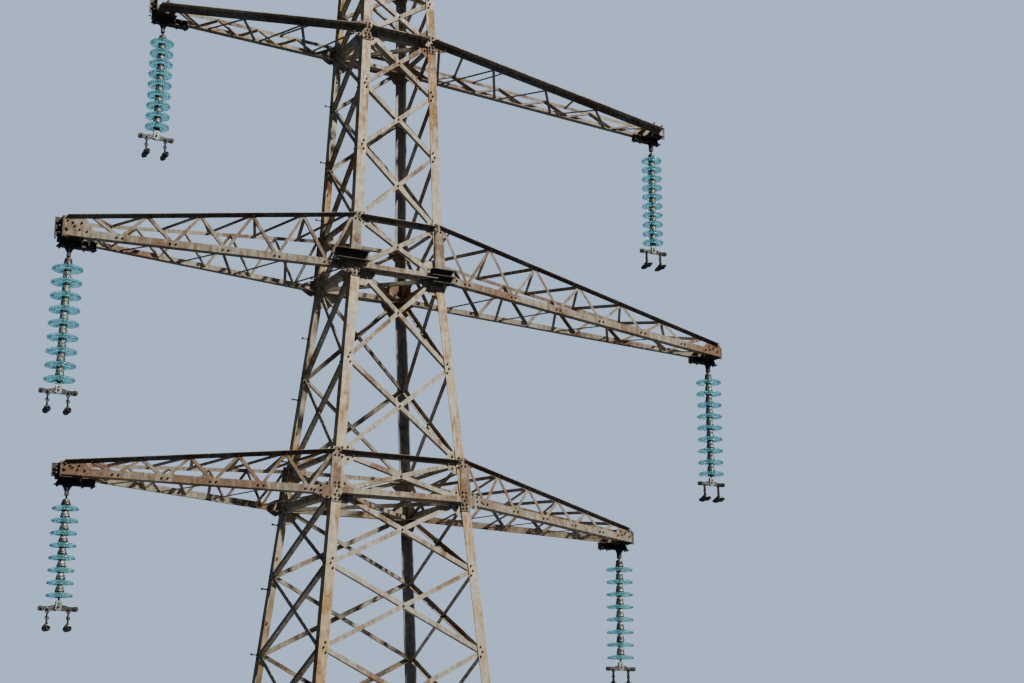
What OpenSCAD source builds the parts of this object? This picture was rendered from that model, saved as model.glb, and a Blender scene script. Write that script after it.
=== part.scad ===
// Lattice transmission pylon with three pairs of cross arms, for overhead
// power lines. It stands on four legs, and a glass insulator string hangs
// from the tip of each arm. Lengths are in millimetres. The origin is on the
// tower axis at ground level, X runs along the arms, Y along the line and
// Z points up.

/* [Tower body] */
// half of the distance between the leg heels at ground level
base_half = 2260; // [1900:10:2600]
// half of the distance between the leg heels at the waist
waist_half = 593; // [540:1:650]
// half of the distance between the leg heels at the cage top
cage_half = 455; // [410:1:500]
// rise of the cage top above the top arm's bottom chords
cage_rise = 1120; // [850:5:1400]
// rise of the earth wire bracket above the cage top
peak_rise = 2150; // [1600:10:2700]

/* [Angle sections] */
// flange width of the leg angles
leg_flange = 112; // [100:1:130]
// thickness of the leg angles
leg_thick = 12; // [8:1:16]
// flange width of the bracing angles
brace_flange = 52; // [44:1:65]
// thickness of the bracing angles
brace_thick = 6; // [4:0.5:8]
// flange width of the heavy horizontals that tie the arms together
tie_flange = 84; // [70:1:100]
// flange width of the bottom chords of the arms
chord_flange = 84; // [70:1:100]
// thickness of the bottom chords of the arms
chord_thick = 8; // [6:0.5:10]
// flange width of the top chords and the light arm bracing
light_flange = 45; // [38:1:55]
// thickness of the light angles
light_thick = 5; // [4:0.5:7]
// clearance between bolted faces
seat_gap = 0.3; // [0.2:0.1:0.6]

// how far a joint plate reaches from the heel of its leg
plate_reach = 250; // [200:5:300]
// how far a joint plate reaches above and below its level
plate_rise = 185; // [140:5:220]

/* [Panels] */
// height of the first panel point above the feet
panel_start = 300; // [250:10:500]
// height of the lower arm's bottom chords
low_arm_height = 14970; // [13000:5:16500]
// rise of the middle arm's bottom chords above the lower arm's
mid_arm_rise = 2720; // [2400:5:3000]
// rise of the top arm's bottom chords above the middle arm's
top_arm_rise = 3080; // [2800:5:3400]
// depth of the lower arm at the body
low_arm_depth = 445; // [360:5:540]
// depth of the middle arm at the body
mid_arm_depth = 620; // [520:5:760]
// depth of the top arm at the body
top_arm_depth = 140; // [120:5:200]

/* [Arms] */
// reach of the left lower arm from the tower axis
low_left_reach = 3560; // [3200:5:3900]
// reach of the right lower arm from the tower axis
low_right_reach = 3420; // [3100:5:3750]
// reach of the left middle arm from the tower axis
mid_left_reach = 3730; // [3400:5:4100]
// reach of the right middle arm from the tower axis
mid_right_reach = 4890; // [4500:5:5300]
// reach of the left top arm from the tower axis
top_left_reach = 2840; // [2550:5:3150]
// reach of the right top arm from the tower axis
top_right_reach = 4040; // [3650:5:4450]
// drop of the left lower arm's tip below its root, negative because it rises
low_left_drop = -100; // [-150:5:-50]
// drop of the right lower arm's tip
low_right_drop = 205; // [160:5:260]
// drop of the left middle arm's tip
mid_left_drop = -35; // [-80:5:20]
// drop of the right middle arm's tip
mid_right_drop = 320; // [250:5:380]
// drop of the left top arm's tip
top_left_drop = 130; // [80:5:180]
// drop of the right top arm's tip
top_right_drop = 350; // [280:5:400]
// half of the distance between the chord faces at an arm tip
tip_half = 130; // [120:1:150]
// depth of the left lower arm at its tip
low_left_tip = 100; // [90:1:130]
// depth of the right lower arm at its tip
low_right_tip = 115; // [95:1:140]
// depth of the left middle arm at its tip
mid_left_tip = 180; // [150:1:200]
// depth of the right middle arm at its tip
mid_right_tip = 115; // [95:1:140]
// depth of the left top arm at its tip
top_left_tip = 140; // [120:1:160]
// depth of the right top arm at its tip
top_right_tip = 130; // [110:1:150]

/* [Insulator strings] */
// diameter of the glass discs on the middle arms and the right lower arm
large_disc_dia = 340; // [320:1:360]
// diameter of the glass discs on the other arms
small_disc_dia = 280; // [270:1:300]
// distance from one large disc to the next
large_disc_pitch = 157; // [150:1:170]
// distance from one small disc to the next
small_disc_pitch = 132; // [127:1:140]
// distance from the hanger pin to the first disc
first_disc = 185; // [175:1:240]
// length of the yoke plate under a string
yoke_width = 420; // [360:5:460]
// distance between the two conductor clamps of a string
clamp_pitch = 220; // [180:5:280]
// diameter of the conductor that a clamp holds
cable_dia = 26; // [20:0.5:30]
// number of discs on the top left string
top_left_discs = 9; // [7:1:10]
// number of discs on the top right string
top_right_discs = 10; // [7:1:11]
// number of discs on the middle left string
mid_left_discs = 9; // [7:1:10]
// number of discs on the middle right string
mid_right_discs = 9; // [7:1:10]
// number of discs on the lower left string
low_left_discs = 8; // [7:1:9]
// number of discs on the lower right string
low_right_discs = 8; // [7:1:9]

/* [Feet] */
// side of a square base plate
plate_side = 460; // [400:5:540]
// thickness of a base plate
plate_thick = 30; // [20:1:40]
// distance between the anchor bolts of a foot
anchor_pitch = 340; // [300:5:360]
// diameter of an anchor bolt hole
anchor_hole = 36; // [30:1:42]

/* [Hidden] */
$fn = 48;
// half of the distance between the angle heels at the top of the peak
peak_half = 60;
// how far a flat bracing end stays from the heel of its leg
bar_cut = 40;
// free space between two standing flanges that meet in a corner
flange_room = 8;
// how far the lower part of a leg runs into the upper part
kink_lap = 2;
// how far a chord runs back over its leg
chord_lap = 34;
// how far the chords run past the hanger pin at an arm tip
tip_tail = 110;
// how far an outward flange stops before the end of its chord
flange_back = 40;
// distance from the chord line at a tip down to the hanger pin
pin_drop = 172;
// thickness of a gusset plate
gusset_thick = 8;
// width of an arm's root plate, and its reach below and beside the chords
root_width = 108;
root_rise = 130;
root_over = 60;
// thickness and height of the splice plates on the legs above the waist
splice_thick = 9;
splice_height = 240;
// the beam under an arm tip: its reach inwards and outwards from the hanger pin,
// half of its width, and its height above the pin
beam_in = 300;
beam_out = 140;
beam_half = 45;
beam_clear = 33;
// thickness of a hanger plate
hanger_thick = 20;
// radius of a hanger pin and the running clearance round it
pin_r = 12;
pin_play = 0.06;
// free space between a clevis cheek and the hanger plate
cheek_gap = 6;
cheek_thick = 12;
// radius of the rod that joins the insulator caps
rod_r = 11;
// height over a cap that the pin of the disc above it takes
cap_room = 74;
// thickness of a glass disc round its pin
disc_core = 22;
// clearance between glass and metal
glass_gap = 0.4;
// distance from the last disc to the yoke plate
yoke_drop = 150;
// distance from the yoke's pin line to its lower edge
yoke_low = 44;
// distance from the yoke plate's lower edge to the conductor
clamp_drop = 180;
// ratios of one panel height to the one below it
leg_panel_ratio = 0.8876;
cage_panel_ratio = 0.87;

mid_arm_height = low_arm_height + mid_arm_rise;
top_arm_height = mid_arm_height + top_arm_rise;
cage_height = top_arm_height + cage_rise;
peak_height = cage_height + peak_rise;
// the slope of the legs changes at the middle arm
waist_height = mid_arm_height;
low_slope = (base_half - waist_half) / waist_height;
high_slope = (waist_half - cage_half) / (cage_height - waist_height);
peak_slope = (cage_half - peak_half) / (peak_height - cage_height);
low_lean = atan(low_slope);
high_lean = atan(high_slope);
peak_lean = atan(peak_slope);
standing_cut = leg_thick + seat_gap + brace_flange + flange_room;
tie_cut = leg_thick + seat_gap + tie_flange + flange_room;

function half_at(z) = z < waist_height ? base_half - low_slope * z
                                       : waist_half - high_slope * (z - waist_height);
function steps(a, b, n, r) = [for (k = [0:n]) a + (b - a) * (1 - pow(r, k)) / (1 - pow(r, n))];
function tail(v) = [for (k = [1:len(v) - 1]) v[k]];

low_levels = concat(
    steps(panel_start, low_arm_height, 10, leg_panel_ratio),
    [low_arm_height + low_arm_depth,
     (low_arm_height + low_arm_depth + waist_height) / 2,
     waist_height]);
high_levels = concat(
    [waist_height],
    steps(waist_height + mid_arm_depth, top_arm_height, 3, cage_panel_ratio),
    [(top_arm_height + cage_height) / 2, cage_height - brace_flange]);

// One side of the tower as a flat drawing: x runs across the side, y up its slope.
module in_side(side, lean, half, z) {
    rotate([0, 0, 90 * side]) translate([0, -half, z]) rotate([90 - lean, 0, 0]) children();
}

module low_side(side) {
    in_side(side, low_lean, base_half, 0) children();
}

module high_side(side) {
    in_side(side, high_lean, waist_half, waist_height) children();
}

module peak_side(side) {
    in_side(side, peak_lean, cage_half, cage_height) children();
}

// Flat strip from a to b in a drawing, w wide about the line.
module strip(a, b, w) {
    d = b - a;
    translate(a) rotate(atan2(d[1], d[0])) translate([0, -w / 2]) square([norm(d), w]);
}

// Such a strip, longer by its own width at both ends.
module long_strip(a, b, w) {
    u = w * (b - a) / norm(b - a);
    strip(a - u, b + u, w);
}

// The lower edge of such a strip, where the standing flange grows.
module edge(a, b, w, t, upper = false) {
    d = b - a;
    translate(a) rotate(atan2(d[1], d[0]))
        translate([0, upper ? w / 2 - t : -w / 2]) square([norm(d), t]);
}

// Solid from a drawing, from depth z down to depth z - t.
module layer(z, t) {
    translate([0, 0, z - t]) linear_extrude(t) children();
}

// Legs

module flange(half_a, half_b, y_a, y_b, width, side) {
    polygon([[side * half_a, y_a], [side * (half_a - width), y_a],
             [side * (half_b - width), y_b], [side * half_b, y_b]]);
}

module leg_pair(lean_side, half_a, half_b, y_a, y_b, width, thick) {
    // the two flanges of a leg lie in the two sides that meet at its heel
    for (s = [[0, -1], [3, 1]])
        if (lean_side == 0) low_side(s[0]) layer(0, thick) flange(half_a, half_b, y_a, y_b, width, s[1]);
        else if (lean_side == 1)
            high_side(s[0]) layer(0, thick) flange(half_a, half_b, y_a, y_b, width, s[1]);
        else peak_side(s[0]) layer(0, thick) flange(half_a, half_b, y_a, y_b, width, s[1]);
}

module leg(corner) {
    low_end = waist_height / cos(low_lean);
    foot = plate_thick / 2;
    color([0.62, 0.58, 0.52]) rotate([0, 0, 90 * corner]) {
        leg_pair(0, half_at(foot), waist_half - kink_lap * low_slope,
                 foot / cos(low_lean), low_end + kink_lap, leg_flange, leg_thick);
        leg_pair(1, waist_half, cage_half, 0, (cage_height - waist_height) / cos(high_lean),
                 leg_flange, leg_thick);
        // splice plates outside both flanges, above the change of slope
        for (f = [[0, -1], [3, 1]])
            high_side(f[0]) layer(splice_thick, splice_thick + 1)
                flange(waist_half - 4, waist_half - 4 - splice_height * high_slope, 12, splice_height,
                       leg_flange * 0.92, f[1]);
        foot_plate();
    }
}

module foot_plate() {
    rib_height = 190;
    rib_thick = 12;
    rib_run = plate_side / 2 - leg_flange / 2 - 20;
    centre = -base_half + leg_flange / 2;
    translate([centre, centre, 0]) {
        difference() {
            translate([-plate_side / 2, -plate_side / 2, 0]) cube([plate_side, plate_side, plate_thick]);
            for (x = [-1, 1], y = [-1, 1])
                translate([x * anchor_pitch / 2, y * anchor_pitch / 2, -1])
                    cylinder(r = anchor_hole / 2, h = plate_thick + 2);
        }
    }
    // ribs from the plate to the outside of both flanges
    for (m = [0, 1])
        mirror([m, -m, 0])
            translate([-base_half + leg_flange * 0.62, -half_at(plate_thick), plate_thick])
                rotate([90, 0, -90])
                    linear_extrude(rib_thick, center = true)
                        polygon([[0.5, -2], [rib_run, -2], [rib_run, 22],
                                 [leg_thick, rib_height], [-rib_height * low_slope + 1, rib_height]]);
}

// Bracing of one side

module crosses(levels, z0, lean, mode) {
    inset = leg_flange / 2;
    for (k = [0:len(levels) - 2]) {
        ya = (levels[k] - z0) / cos(lean);
        yb = (levels[k + 1] - z0) / cos(lean);
        xa = half_at(levels[k]) - inset;
        xb = half_at(levels[k + 1]) - inset;
        if (mode == 0) {
            strip([-xa, ya], [xb, yb], brace_flange);
            strip([-xb, yb], [xa, ya], brace_flange);
        } else {
            edge([-xa, ya], [xb, yb], brace_flange, brace_thick);
            edge([-xb, yb], [xa, ya], brace_flange, brace_thick);
        }
    }
}

module across(z, z0, lean, w, t, mode) {
    y = (z - z0) / cos(lean);
    x = half_at(z);
    if (mode == 0) strip([-x, y], [x, y], w);
    else edge([-x, y], [x, y], w, t);
}

// Joint plates that hold the bracing at both legs: each reaches wide from the
// heel, and tall above and below the level.
module joint_plates(z, z0, lean, wide, tall) {
    y = (z - z0) / cos(lean);
    x = half_at(z);
    for (s = [-1, 1])
        polygon([[s * x, y - tall], [s * (x - 0.6 * wide), y - tall], [s * (x - wide), y - 0.4 * tall],
                 [s * (x - wide), y + 0.4 * tall], [s * (x - 0.6 * wide), y + tall], [s * x, y + tall]]);
}

// The part of a drawing that stays clear of the leg heels.
module between_legs(half_a, half_b, height, cut) {
    intersection() {
        children();
        polygon([[-half_a + cut, -200], [half_a - cut, -200],
                 [half_b - cut, height + 200], [-half_b + cut, height + 200]]);
    }
}

module low_bracing(side) {
    height = waist_height / cos(low_lean);
    low_side(side) {
        layer(-leg_thick - seat_gap, brace_thick)
            between_legs(base_half + 200 * low_slope, waist_half - 200 * low_slope, height, bar_cut) {
                union() {
                    crosses(low_levels, 0, low_lean, 0);
                    across(low_levels[5], 0, low_lean, brace_flange, brace_thick, 0);
                    across(low_arm_height + low_arm_depth, 0, low_lean, brace_flange, brace_thick, 0);
                    across(low_arm_height, 0, low_lean, tie_flange, brace_thick, 0);
                    across(waist_height, 0, low_lean, tie_flange, brace_thick, 0);
                    joint_plates(low_levels[5], 0, low_lean, plate_reach * 0.8, plate_rise * 0.75);
                    joint_plates(low_arm_height, 0, low_lean, plate_reach, plate_rise);
                    joint_plates(low_arm_height + low_arm_depth, 0, low_lean, plate_reach, plate_rise * 0.75);
                    joint_plates(waist_height, 0, low_lean, plate_reach * 1.2, plate_rise * 1.25);
                }
            }
        layer(-leg_thick - seat_gap, brace_flange)
            between_legs(base_half + 200 * low_slope, waist_half - 200 * low_slope, height, standing_cut) {
                union() {
                    crosses(low_levels, 0, low_lean, 1);
                    across(low_levels[5], 0, low_lean, brace_flange, brace_thick, 1);
                    across(low_arm_height + low_arm_depth, 0, low_lean, brace_flange, brace_thick, 1);
                }
            }
        layer(-leg_thick - seat_gap, tie_flange)
            between_legs(base_half + 200 * low_slope, waist_half - 200 * low_slope, height, tie_cut) {
                union() {
                    across(low_arm_height, 0, low_lean, tie_flange, brace_thick, 1);
                    across(waist_height, 0, low_lean, tie_flange, brace_thick, 1);
                }
            }
    }
}

module high_bracing(side) {
    height = (cage_height - waist_height) / cos(high_lean);
    high_side(side) {
        layer(-leg_thick - seat_gap, brace_thick)
            between_legs(waist_half + 200 * high_slope, cage_half - 200 * high_slope, height, bar_cut) {
                union() {
                    crosses(high_levels, waist_height, high_lean, 0);
                    across(waist_height + mid_arm_depth, waist_height, high_lean,
                           brace_flange, brace_thick, 0);
                    across(top_arm_height, waist_height, high_lean, tie_flange, brace_thick, 0);
                    across(cage_height - brace_flange, waist_height, high_lean, brace_flange, brace_thick, 0);
                    joint_plates(waist_height + mid_arm_depth, waist_height, high_lean,
                                 plate_reach * 0.8, plate_rise * 0.65);
                    joint_plates(top_arm_height, waist_height, high_lean, plate_reach * 0.9, plate_rise);
                    joint_plates(cage_height - plate_rise / 2, waist_height, high_lean,
                                 plate_reach * 0.8, plate_rise / 2);
                }
            }
        layer(-leg_thick - seat_gap, brace_flange)
            between_legs(waist_half + 200 * high_slope, cage_half - 200 * high_slope, height, standing_cut) {
                union() {
                    crosses(high_levels, waist_height, high_lean, 1);
                    across(waist_height + mid_arm_depth, waist_height, high_lean,
                           brace_flange, brace_thick, 1);
                    across(cage_height - brace_flange, waist_height, high_lean, brace_flange, brace_thick, 1);
                }
            }
        layer(-leg_thick - seat_gap, tie_flange)
            between_legs(waist_half + 200 * high_slope, cage_half - 200 * high_slope, height, tie_cut)
                across(top_arm_height, waist_height, high_lean, tie_flange, brace_thick, 1);
    }
}

module side_bracing(side) {
    color([0.55, 0.52, 0.47]) {
        low_bracing(side);
        high_bracing(side);
    }
}

// Plan bracing: a cross of light angles inside the tower, seated on the ties

module plan_frame(z) {
    lean = z > waist_height ? high_lean : low_lean;
    // the ties' standing flanges fall away inwards, and the cross rests on them
    // where they start, beside the corner
    seat = tie_cut - 0.7 * light_flange;
    base = z - (tie_flange / 2 - brace_thick) * cos(lean) - seat * sin(lean) + seat_gap;
    inside = half_at(z) - standing_cut - light_flange / 4;
    free = half_at(z) - tie_cut - 20;
    color([0.5, 0.47, 0.42]) translate([0, 0, base]) {
        layer(light_thick, light_thick) {
            strip([-inside, -inside], [inside, inside], light_flange);
            strip([-inside, inside], [inside, -inside], light_flange);
        }
        layer(light_flange, light_flange) {
            edge([-free, -free], [free, free], light_flange, light_thick);
            edge([-free, free], [free, -free], light_flange, light_thick);
        }
    }
}

// Peak that carries the earth wire

module peak() {
    rise = (peak_height - cage_height) / cos(peak_lean);
    first = light_flange;
    mid = rise * 0.5;
    high = rise * 0.88;
    function inner(y) = cage_half - y * sin(peak_lean) - light_flange / 2;
    color([0.55, 0.52, 0.47]) {
        for (corner = [0:3])
            rotate([0, 0, 90 * corner])
                leg_pair(2, cage_half, peak_half, seat_gap + chord_thick * peak_slope, rise,
                         tie_flange, chord_thick);
        for (side = [0:3])
            peak_side(side) {
                layer(-1, light_thick) intersection() {
                    union() {
                        strip([-inner(first), first], [inner(mid), mid], light_flange);
                        strip([-inner(mid), mid], [inner(first), first], light_flange);
                        strip([-inner(mid), mid], [inner(mid), mid], light_flange);
                        strip([-inner(first), first], [inner(first), first], light_flange);
                        strip([-inner(mid), mid], [inner(high), high], light_flange);
                        strip([-inner(high), high], [inner(mid), mid], light_flange);
                    }
                    polygon([[-cage_half + 6, 1], [cage_half - 6, 1],
                             [peak_half - 6, rise], [-peak_half + 6, rise]]);
                }
            }
        // cap plate and the lug that the earth wire clamp hangs from
        translate([-peak_half - 20, -peak_half - 20, peak_height - 4])
            cube([2 * peak_half + 40, 2 * peak_half + 40, gusset_thick + 4]);
        difference() {
            translate([-peak_half, -hanger_thick / 2, peak_height])
                cube([2 * peak_half, hanger_thick, 110]);
            translate([0, hanger_thick, peak_height + 70]) rotate([90, 0, 0])
                cylinder(r = pin_r, h = 2 * hanger_thick);
        }
    }
}

// Cross arms. Each is drawn for the right side and its near truss, then mirrored.

function slope_at(z) = z < waist_height ? low_slope : high_slope;
// the arm at the waist sits on the splice plates of the legs
function packing(z) = z == mid_arm_height ? splice_thick : 0;
function toe(reach, z) = atan((half_at(z) - tip_half) / (reach - half_at(z)));
function arm_run(reach, z) = norm([reach - half_at(z), half_at(z) - tip_half]);
function arm_lean(reach, z) = atan(slope_at(z) * (sin(toe(reach, z)) + cos(toe(reach, z))));

// World position of a point in the drawing plane of an arm's near truss.
function arm_point(reach, z, lx, ly, lz) = let (
    t = toe(reach, z), lean = arm_lean(reach, z),
    inwards = ly * sin(lean) - lz * cos(lean))
    [half_at(z) + lx * cos(t) - inwards * sin(t),
     -half_at(z) - packing(z) + lx * sin(t) + inwards * cos(t),
     z + ly * cos(lean) + lz * sin(lean)];

// Drawing plane of an arm's near truss: x runs out along the arm, y up the truss.
module arm_side(reach, z) {
    translate([half_at(z), -half_at(z) - packing(z), z]) rotate([0, 0, toe(reach, z)])
        rotate([90 - arm_lean(reach, z), 0, 0]) children();
}

// Drawing plane of the leg face that carries the arm's root plate.
module root_side(z) {
    translate([half_at(z), -half_at(z) - packing(z), z]) rotate([90 - atan(slope_at(z)), 0, 0]) children();
}

module truss_bars(run, depth, drop, tip, panels, standing) {
    w = light_flange * 0.8;
    last = 1 - 210 / run;
    function low(k) = [run * last * k, -drop * last * k];
    function top(k) = [run * last * k, depth + (tip - drop - depth) * last * k];
    for (k = [0:panels - 1]) {
        a = top(k / panels);
        b = low((k + 0.5) / panels);
        c = top((k + 1) / panels);
        if (standing) {
            edge(a, b, w, light_thick, true);
            edge(b, c, w, light_thick);
        } else {
            strip(a, b, w);
            strip(b, c, w);
        }
    }
}

module chord_line(run, drop, lift, end_lift, w, mode, t = 1) {
    a = [-chord_lap, lift + (drop + lift - end_lift) * chord_lap / run];
    end = run + tip_tail + w;
    b = [end, lift - (drop + lift - end_lift) * end / run];
    if (mode == 0) strip(a, b, w);
    else edge(a, b, w, t, mode == 2);
}

// Keeps the part of a drawing from x to the end of the arm.
module past(x, run) {
    intersection() {
        children();
        translate([x, -run]) square([run + tip_tail - x, 2 * run]);
    }
}

module root_plate(z, depth) {
    top = max(depth, root_rise) + root_over;
    root_side(z) layer(seat_gap + gusset_thick, gusset_thick)
        polygon([[-root_width, -root_rise], [-8, -root_rise], [26, -root_over], [26, root_over], [-8, top],
                 [-root_width, top]]);
}

// Tie that runs on from an arm's root plate to the root plate of the arm on
// the other side, w wide, with its outstanding flange outwards.
module face_tie(z, y, w, thick, upper) {
    a = [-root_width + seat_gap, y];
    b = [root_width + seat_gap - 2 * half_at(z), y];
    root_side(z) {
        layer(seat_gap + thick, thick) strip(b, a, w);
        layer(seat_gap + w, w) edge(b, a, w, thick, upper);
    }
}

// Chord with a plate over its root. Its outstanding flange points into the arm
// from the lower edge, or out of it from the upper edge.
module arm_chord(reach, z, drop, outwards = false) {
    run = arm_run(reach, z);
    w = chord_flange;
    arm_side(reach, z) {
        layer(seat_gap + chord_thick, chord_thick) past(-2 * chord_lap, run) {
            chord_line(run, drop, 0, 0, w, 0);
            polygon([[-20, -w / 2], [w / 2, -1.2 * w], [w, -1.1 * w], [2.5 * w, -w / 3],
                     [2.5 * w, w / 3], [w, 1.1 * w], [w / 3, 1.3 * w], [-20, w / 2]]);
        }
        if (outwards)
            layer(seat_gap + w, w) past(-2 * chord_lap, run - flange_back)
                chord_line(run, drop, 0, 0, w, 2, chord_thick);
        else
            layer(seat_gap + 1, w) past(16 + w * tan(toe(reach, z)), run)
                chord_line(run, drop, 0, 0, w, 1, chord_thick);
    }
    root_plate(z, 0);
}

module arm_truss(reach, z, depth, drop, tip, panels) {
    run = arm_run(reach, z);
    color([0.58, 0.55, 0.5]) {
        arm_chord(reach, z, drop);
        root_plate(z, depth);
        arm_side(reach, z) {
            // tip plate between the chords
            layer(seat_gap + chord_thick, chord_thick)
                polygon([[run - 230, -drop], [run + tip_tail, -drop], [run + tip_tail, tip - drop],
                         [run - 130, tip - drop]]);
            layer(seat_gap + light_thick, light_thick) past(-2 * chord_lap, run) {
                chord_line(run, drop, depth, tip, light_flange, 0);
                truss_bars(run, depth, drop, tip, panels, false);
            }
            // the top chord's outstanding flange points out of the arm, the bars' into it
            layer(seat_gap + light_flange, light_flange) past(-2 * chord_lap, run - flange_back)
                chord_line(run, drop, depth, tip, light_flange, 2, light_thick);
            layer(seat_gap + 1, light_flange * 0.8)
                past(30, run) truss_bars(run, depth, drop, tip, panels, true);
        }
    }
}

// The near side of a top arm is a single chord.
module single_chord(reach, z, drop) {
    color([0.58, 0.55, 0.5]) arm_chord(reach, z, drop, true);
}

// The ties of an arm pair, drawn with the left arm.
module truss_ties(z, depth) {
    color([0.58, 0.55, 0.5]) {
        face_tie(z, 0, chord_flange, chord_thick, false);
        face_tie(z, depth, light_flange, light_thick, true);
    }
}

// Flat bar from a to b, t thick and w wide.
module bar(a, b, w, t) {
    d = b - a;
    translate(a) rotate([0, acos(d[2] / norm(d)), atan2(d[1], d[0])])
        linear_extrude(norm(d)) square([t, w], center = true);
}

// Struts that join the far truss of a top arm to the single chord on its near side.
module top_struts(reach, z, depth, drop, tip, places) {
    run = arm_run(reach, z);
    color([0.58, 0.55, 0.5])
        for (p = places) {
            n = arm_point(reach, z, run * p[0], chord_flange / 2 - drop * p[0], seat_gap);
            f = arm_point(reach, z, run * p[1], depth + (tip - drop - depth) * p[1] + 12, 0);
            // the bar's corners stay above the chord, which falls towards the tip
            lift = 0.4 * light_flange * drop / run;
            near_end = [n[0], n[1] - 4, n[2] + light_thick / 2 + 2 * seat_gap + lift];
            far_end = [f[0], -f[1] - 2, f[2]];
            bar(near_end, far_end, light_flange * 0.8, light_thick);
        }
}

// Plan lacing between the near and the far chords, on top of their lower flanges.
module arm_lacing(reach, z, drop, panels) {
    t = toe(reach, z);
    lean = arm_lean(reach, z);
    root = half_at(z);
    w = light_flange * 0.8;
    fall = atan(drop * cos(lean) / (reach - root));
    x_a = root + 60;
    x_b = reach - 200;
    inset = 0.7 - packing(z);
    // the leaning trusses of a rising arm come closer together towards the tip
    closer = max(0, -drop) * sin(lean) / (cos(t) * (reach - root));
    function side_y(x) = half_at(z) - (x - root) * (tan(t) + closer) - inset;
    function at(k) = x_a + (x_b - x_a) * k;
    base = (chord_thick - chord_flange / 2) * cos(lean) + seat_gap + 0.002 * max(0, -drop);
    color([0.52, 0.5, 0.45]) translate([root, 0, z]) rotate([0, fall, 0]) translate([-root, 0, base]) {
        layer(light_thick, light_thick) intersection() {
            union() {
                for (k = [0:panels - 1]) {
                    p = at(k / panels);
                    q = at((k + 0.5) / panels);
                    r = at((k + 1) / panels);
                    long_strip([p, -side_y(p)], [q, side_y(q)], w);
                    long_strip([q, side_y(q)], [r, -side_y(r)], w);
                }
            }
            polygon([[x_a - 30, -side_y(x_a - 30)], [x_b + 40, -side_y(x_b + 40)],
                     [x_b + 40, side_y(x_b + 40)], [x_a - 30, side_y(x_a - 30)]]);
        }
    }
}

// End bracket that closes an arm, and the beam below it that holds the hanger plate.
module arm_tip(reach, z, drop, tip) {
    run = arm_run(reach, z);
    pin_z = z - drop - pin_drop;
    // underside of the chords at the distance s along them
    function under(s) = arm_point(reach, z, s, -drop * s / run - chord_flange / 2,
                                  seat_gap + 1 - chord_flange)[2];
    low = min(under(run + tip_tail), under(run - 150)) - seat_gap;
    end_x = arm_point(reach, z, run + tip_tail, -drop - chord_flange / 2, seat_gap + chord_thick)[0]
        + seat_gap + 0.2;
    x_a = reach - 130;
    wide = tip_half + packing(z) - 6;
    beam_z = pin_z + beam_clear;
    color([0.32, 0.3, 0.28]) {
        // bottom plate under the chords and end plate across them
        translate([x_a, -wide, low - gusset_thick])
            cube([end_x + gusset_thick - x_a, 2 * wide, gusset_thick]);
        translate([end_x, -wide, low - gusset_thick]) cube([gusset_thick, 2 * wide, tip + 60]);
        // flanges of the beam
        translate([reach - beam_in, -beam_half, low - gusset_thick])
            cube([beam_in - 120, 2 * beam_half, gusset_thick]);
        translate([reach - beam_in, -beam_half, beam_z])
            cube([beam_in + beam_out, 2 * beam_half, gusset_thick]);
        // its web, with the eye for the hanger pin
        translate([0, hanger_thick / 2, 0]) rotate([90, 0, 0]) linear_extrude(hanger_thick)
            difference() {
                union() {
                    translate([reach, pin_z]) circle(r = 34);
                    polygon([[reach - beam_in + 4, low - gusset_thick / 2],
                             [reach + tip_tail - 20, low - gusset_thick / 2],
                             [reach + beam_out - 4, beam_z + gusset_thick / 2],
                             [reach - beam_in + 4, beam_z + gusset_thick / 2]]);
                    polygon([[reach - 60, beam_z + 4], [reach + 60, beam_z + 4],
                             [reach + 33, pin_z - 4], [reach - 33, pin_z - 4]]);
                }
                translate([reach, pin_z]) circle(r = pin_r + pin_play);
            }
    }
}

// Insulator strings. They hang from the origin, where the hanger pin is.

function disc_z(k, pitch) = -first_disc - k * pitch;

module string_rod(discs, pitch) {
    top = -56;
    last = disc_z(discs - 1, pitch) - yoke_drop;
    cap = pitch - cap_room;
    unit = [
        // cap above the disc
        [rod_r, cap], [26, cap], [34, cap - 6], [36, cap - 14], [44, cap - 24], [46, 30], [50, 22],
        [50, 10], [47, glass_gap], [rod_r, glass_gap],
        // collar of the pin below the disc
        [rod_r, -disc_core - glass_gap], [46, -disc_core - glass_gap], [44, -34], [32, -54],
        [rod_r, -58]];
    units = [for (k = [0:discs - 1], p = unit) [p[0], p[1] + disc_z(k, pitch)]];
    rotate_extrude() polygon(concat([[0, top], [rod_r, top]], units, [[rod_r, last], [0, last]]));
}

module clevis() {
    inside = hanger_thick / 2 + cheek_gap;
    for (s = [-1, 1])
        translate([0, s * (inside + cheek_thick / 2) + cheek_thick / 2, 0]) rotate([90, 0, 0])
            linear_extrude(cheek_thick) {
                circle(r = 26);
                translate([-20, -76]) square([40, 76]);
            }
    translate([-20, -inside - cheek_thick, -76])
        cube([40, 2 * (inside + cheek_thick), 26]);
    // hanger pin with its head and nut
    translate([0, inside + cheek_thick + 12, 0]) rotate([90, 0, 0])
        cylinder(r = pin_r, h = 2 * (inside + cheek_thick + 12));
    for (s = [-1, 1])
        translate([0, s * (inside + cheek_thick + 6) + 6, 0])
            rotate([90, 0, 0]) cylinder(r = 19, h = 12, $fn = 6);
}

module yoke(discs, pitch) {
    z = disc_z(discs - 1, pitch) - yoke_drop;
    arm = yoke_width / 2;
    translate([0, 8, z]) rotate([90, 0, 0]) linear_extrude(16)
        polygon([[-36, 24], [36, 24], [clamp_pitch / 2, 4], [arm, 0], [arm, -34], [arm - 14, -yoke_low],
                 [14 - arm, -yoke_low], [-arm, -34], [-arm, 0], [-clamp_pitch / 2, 4]]);
    translate([0, 0, z - 4]) cylinder(r = 22, h = 44);
    for (s = [-1, 1])
        translate([s * clamp_pitch / 2, 0, z - yoke_low]) clamp();
}

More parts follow.
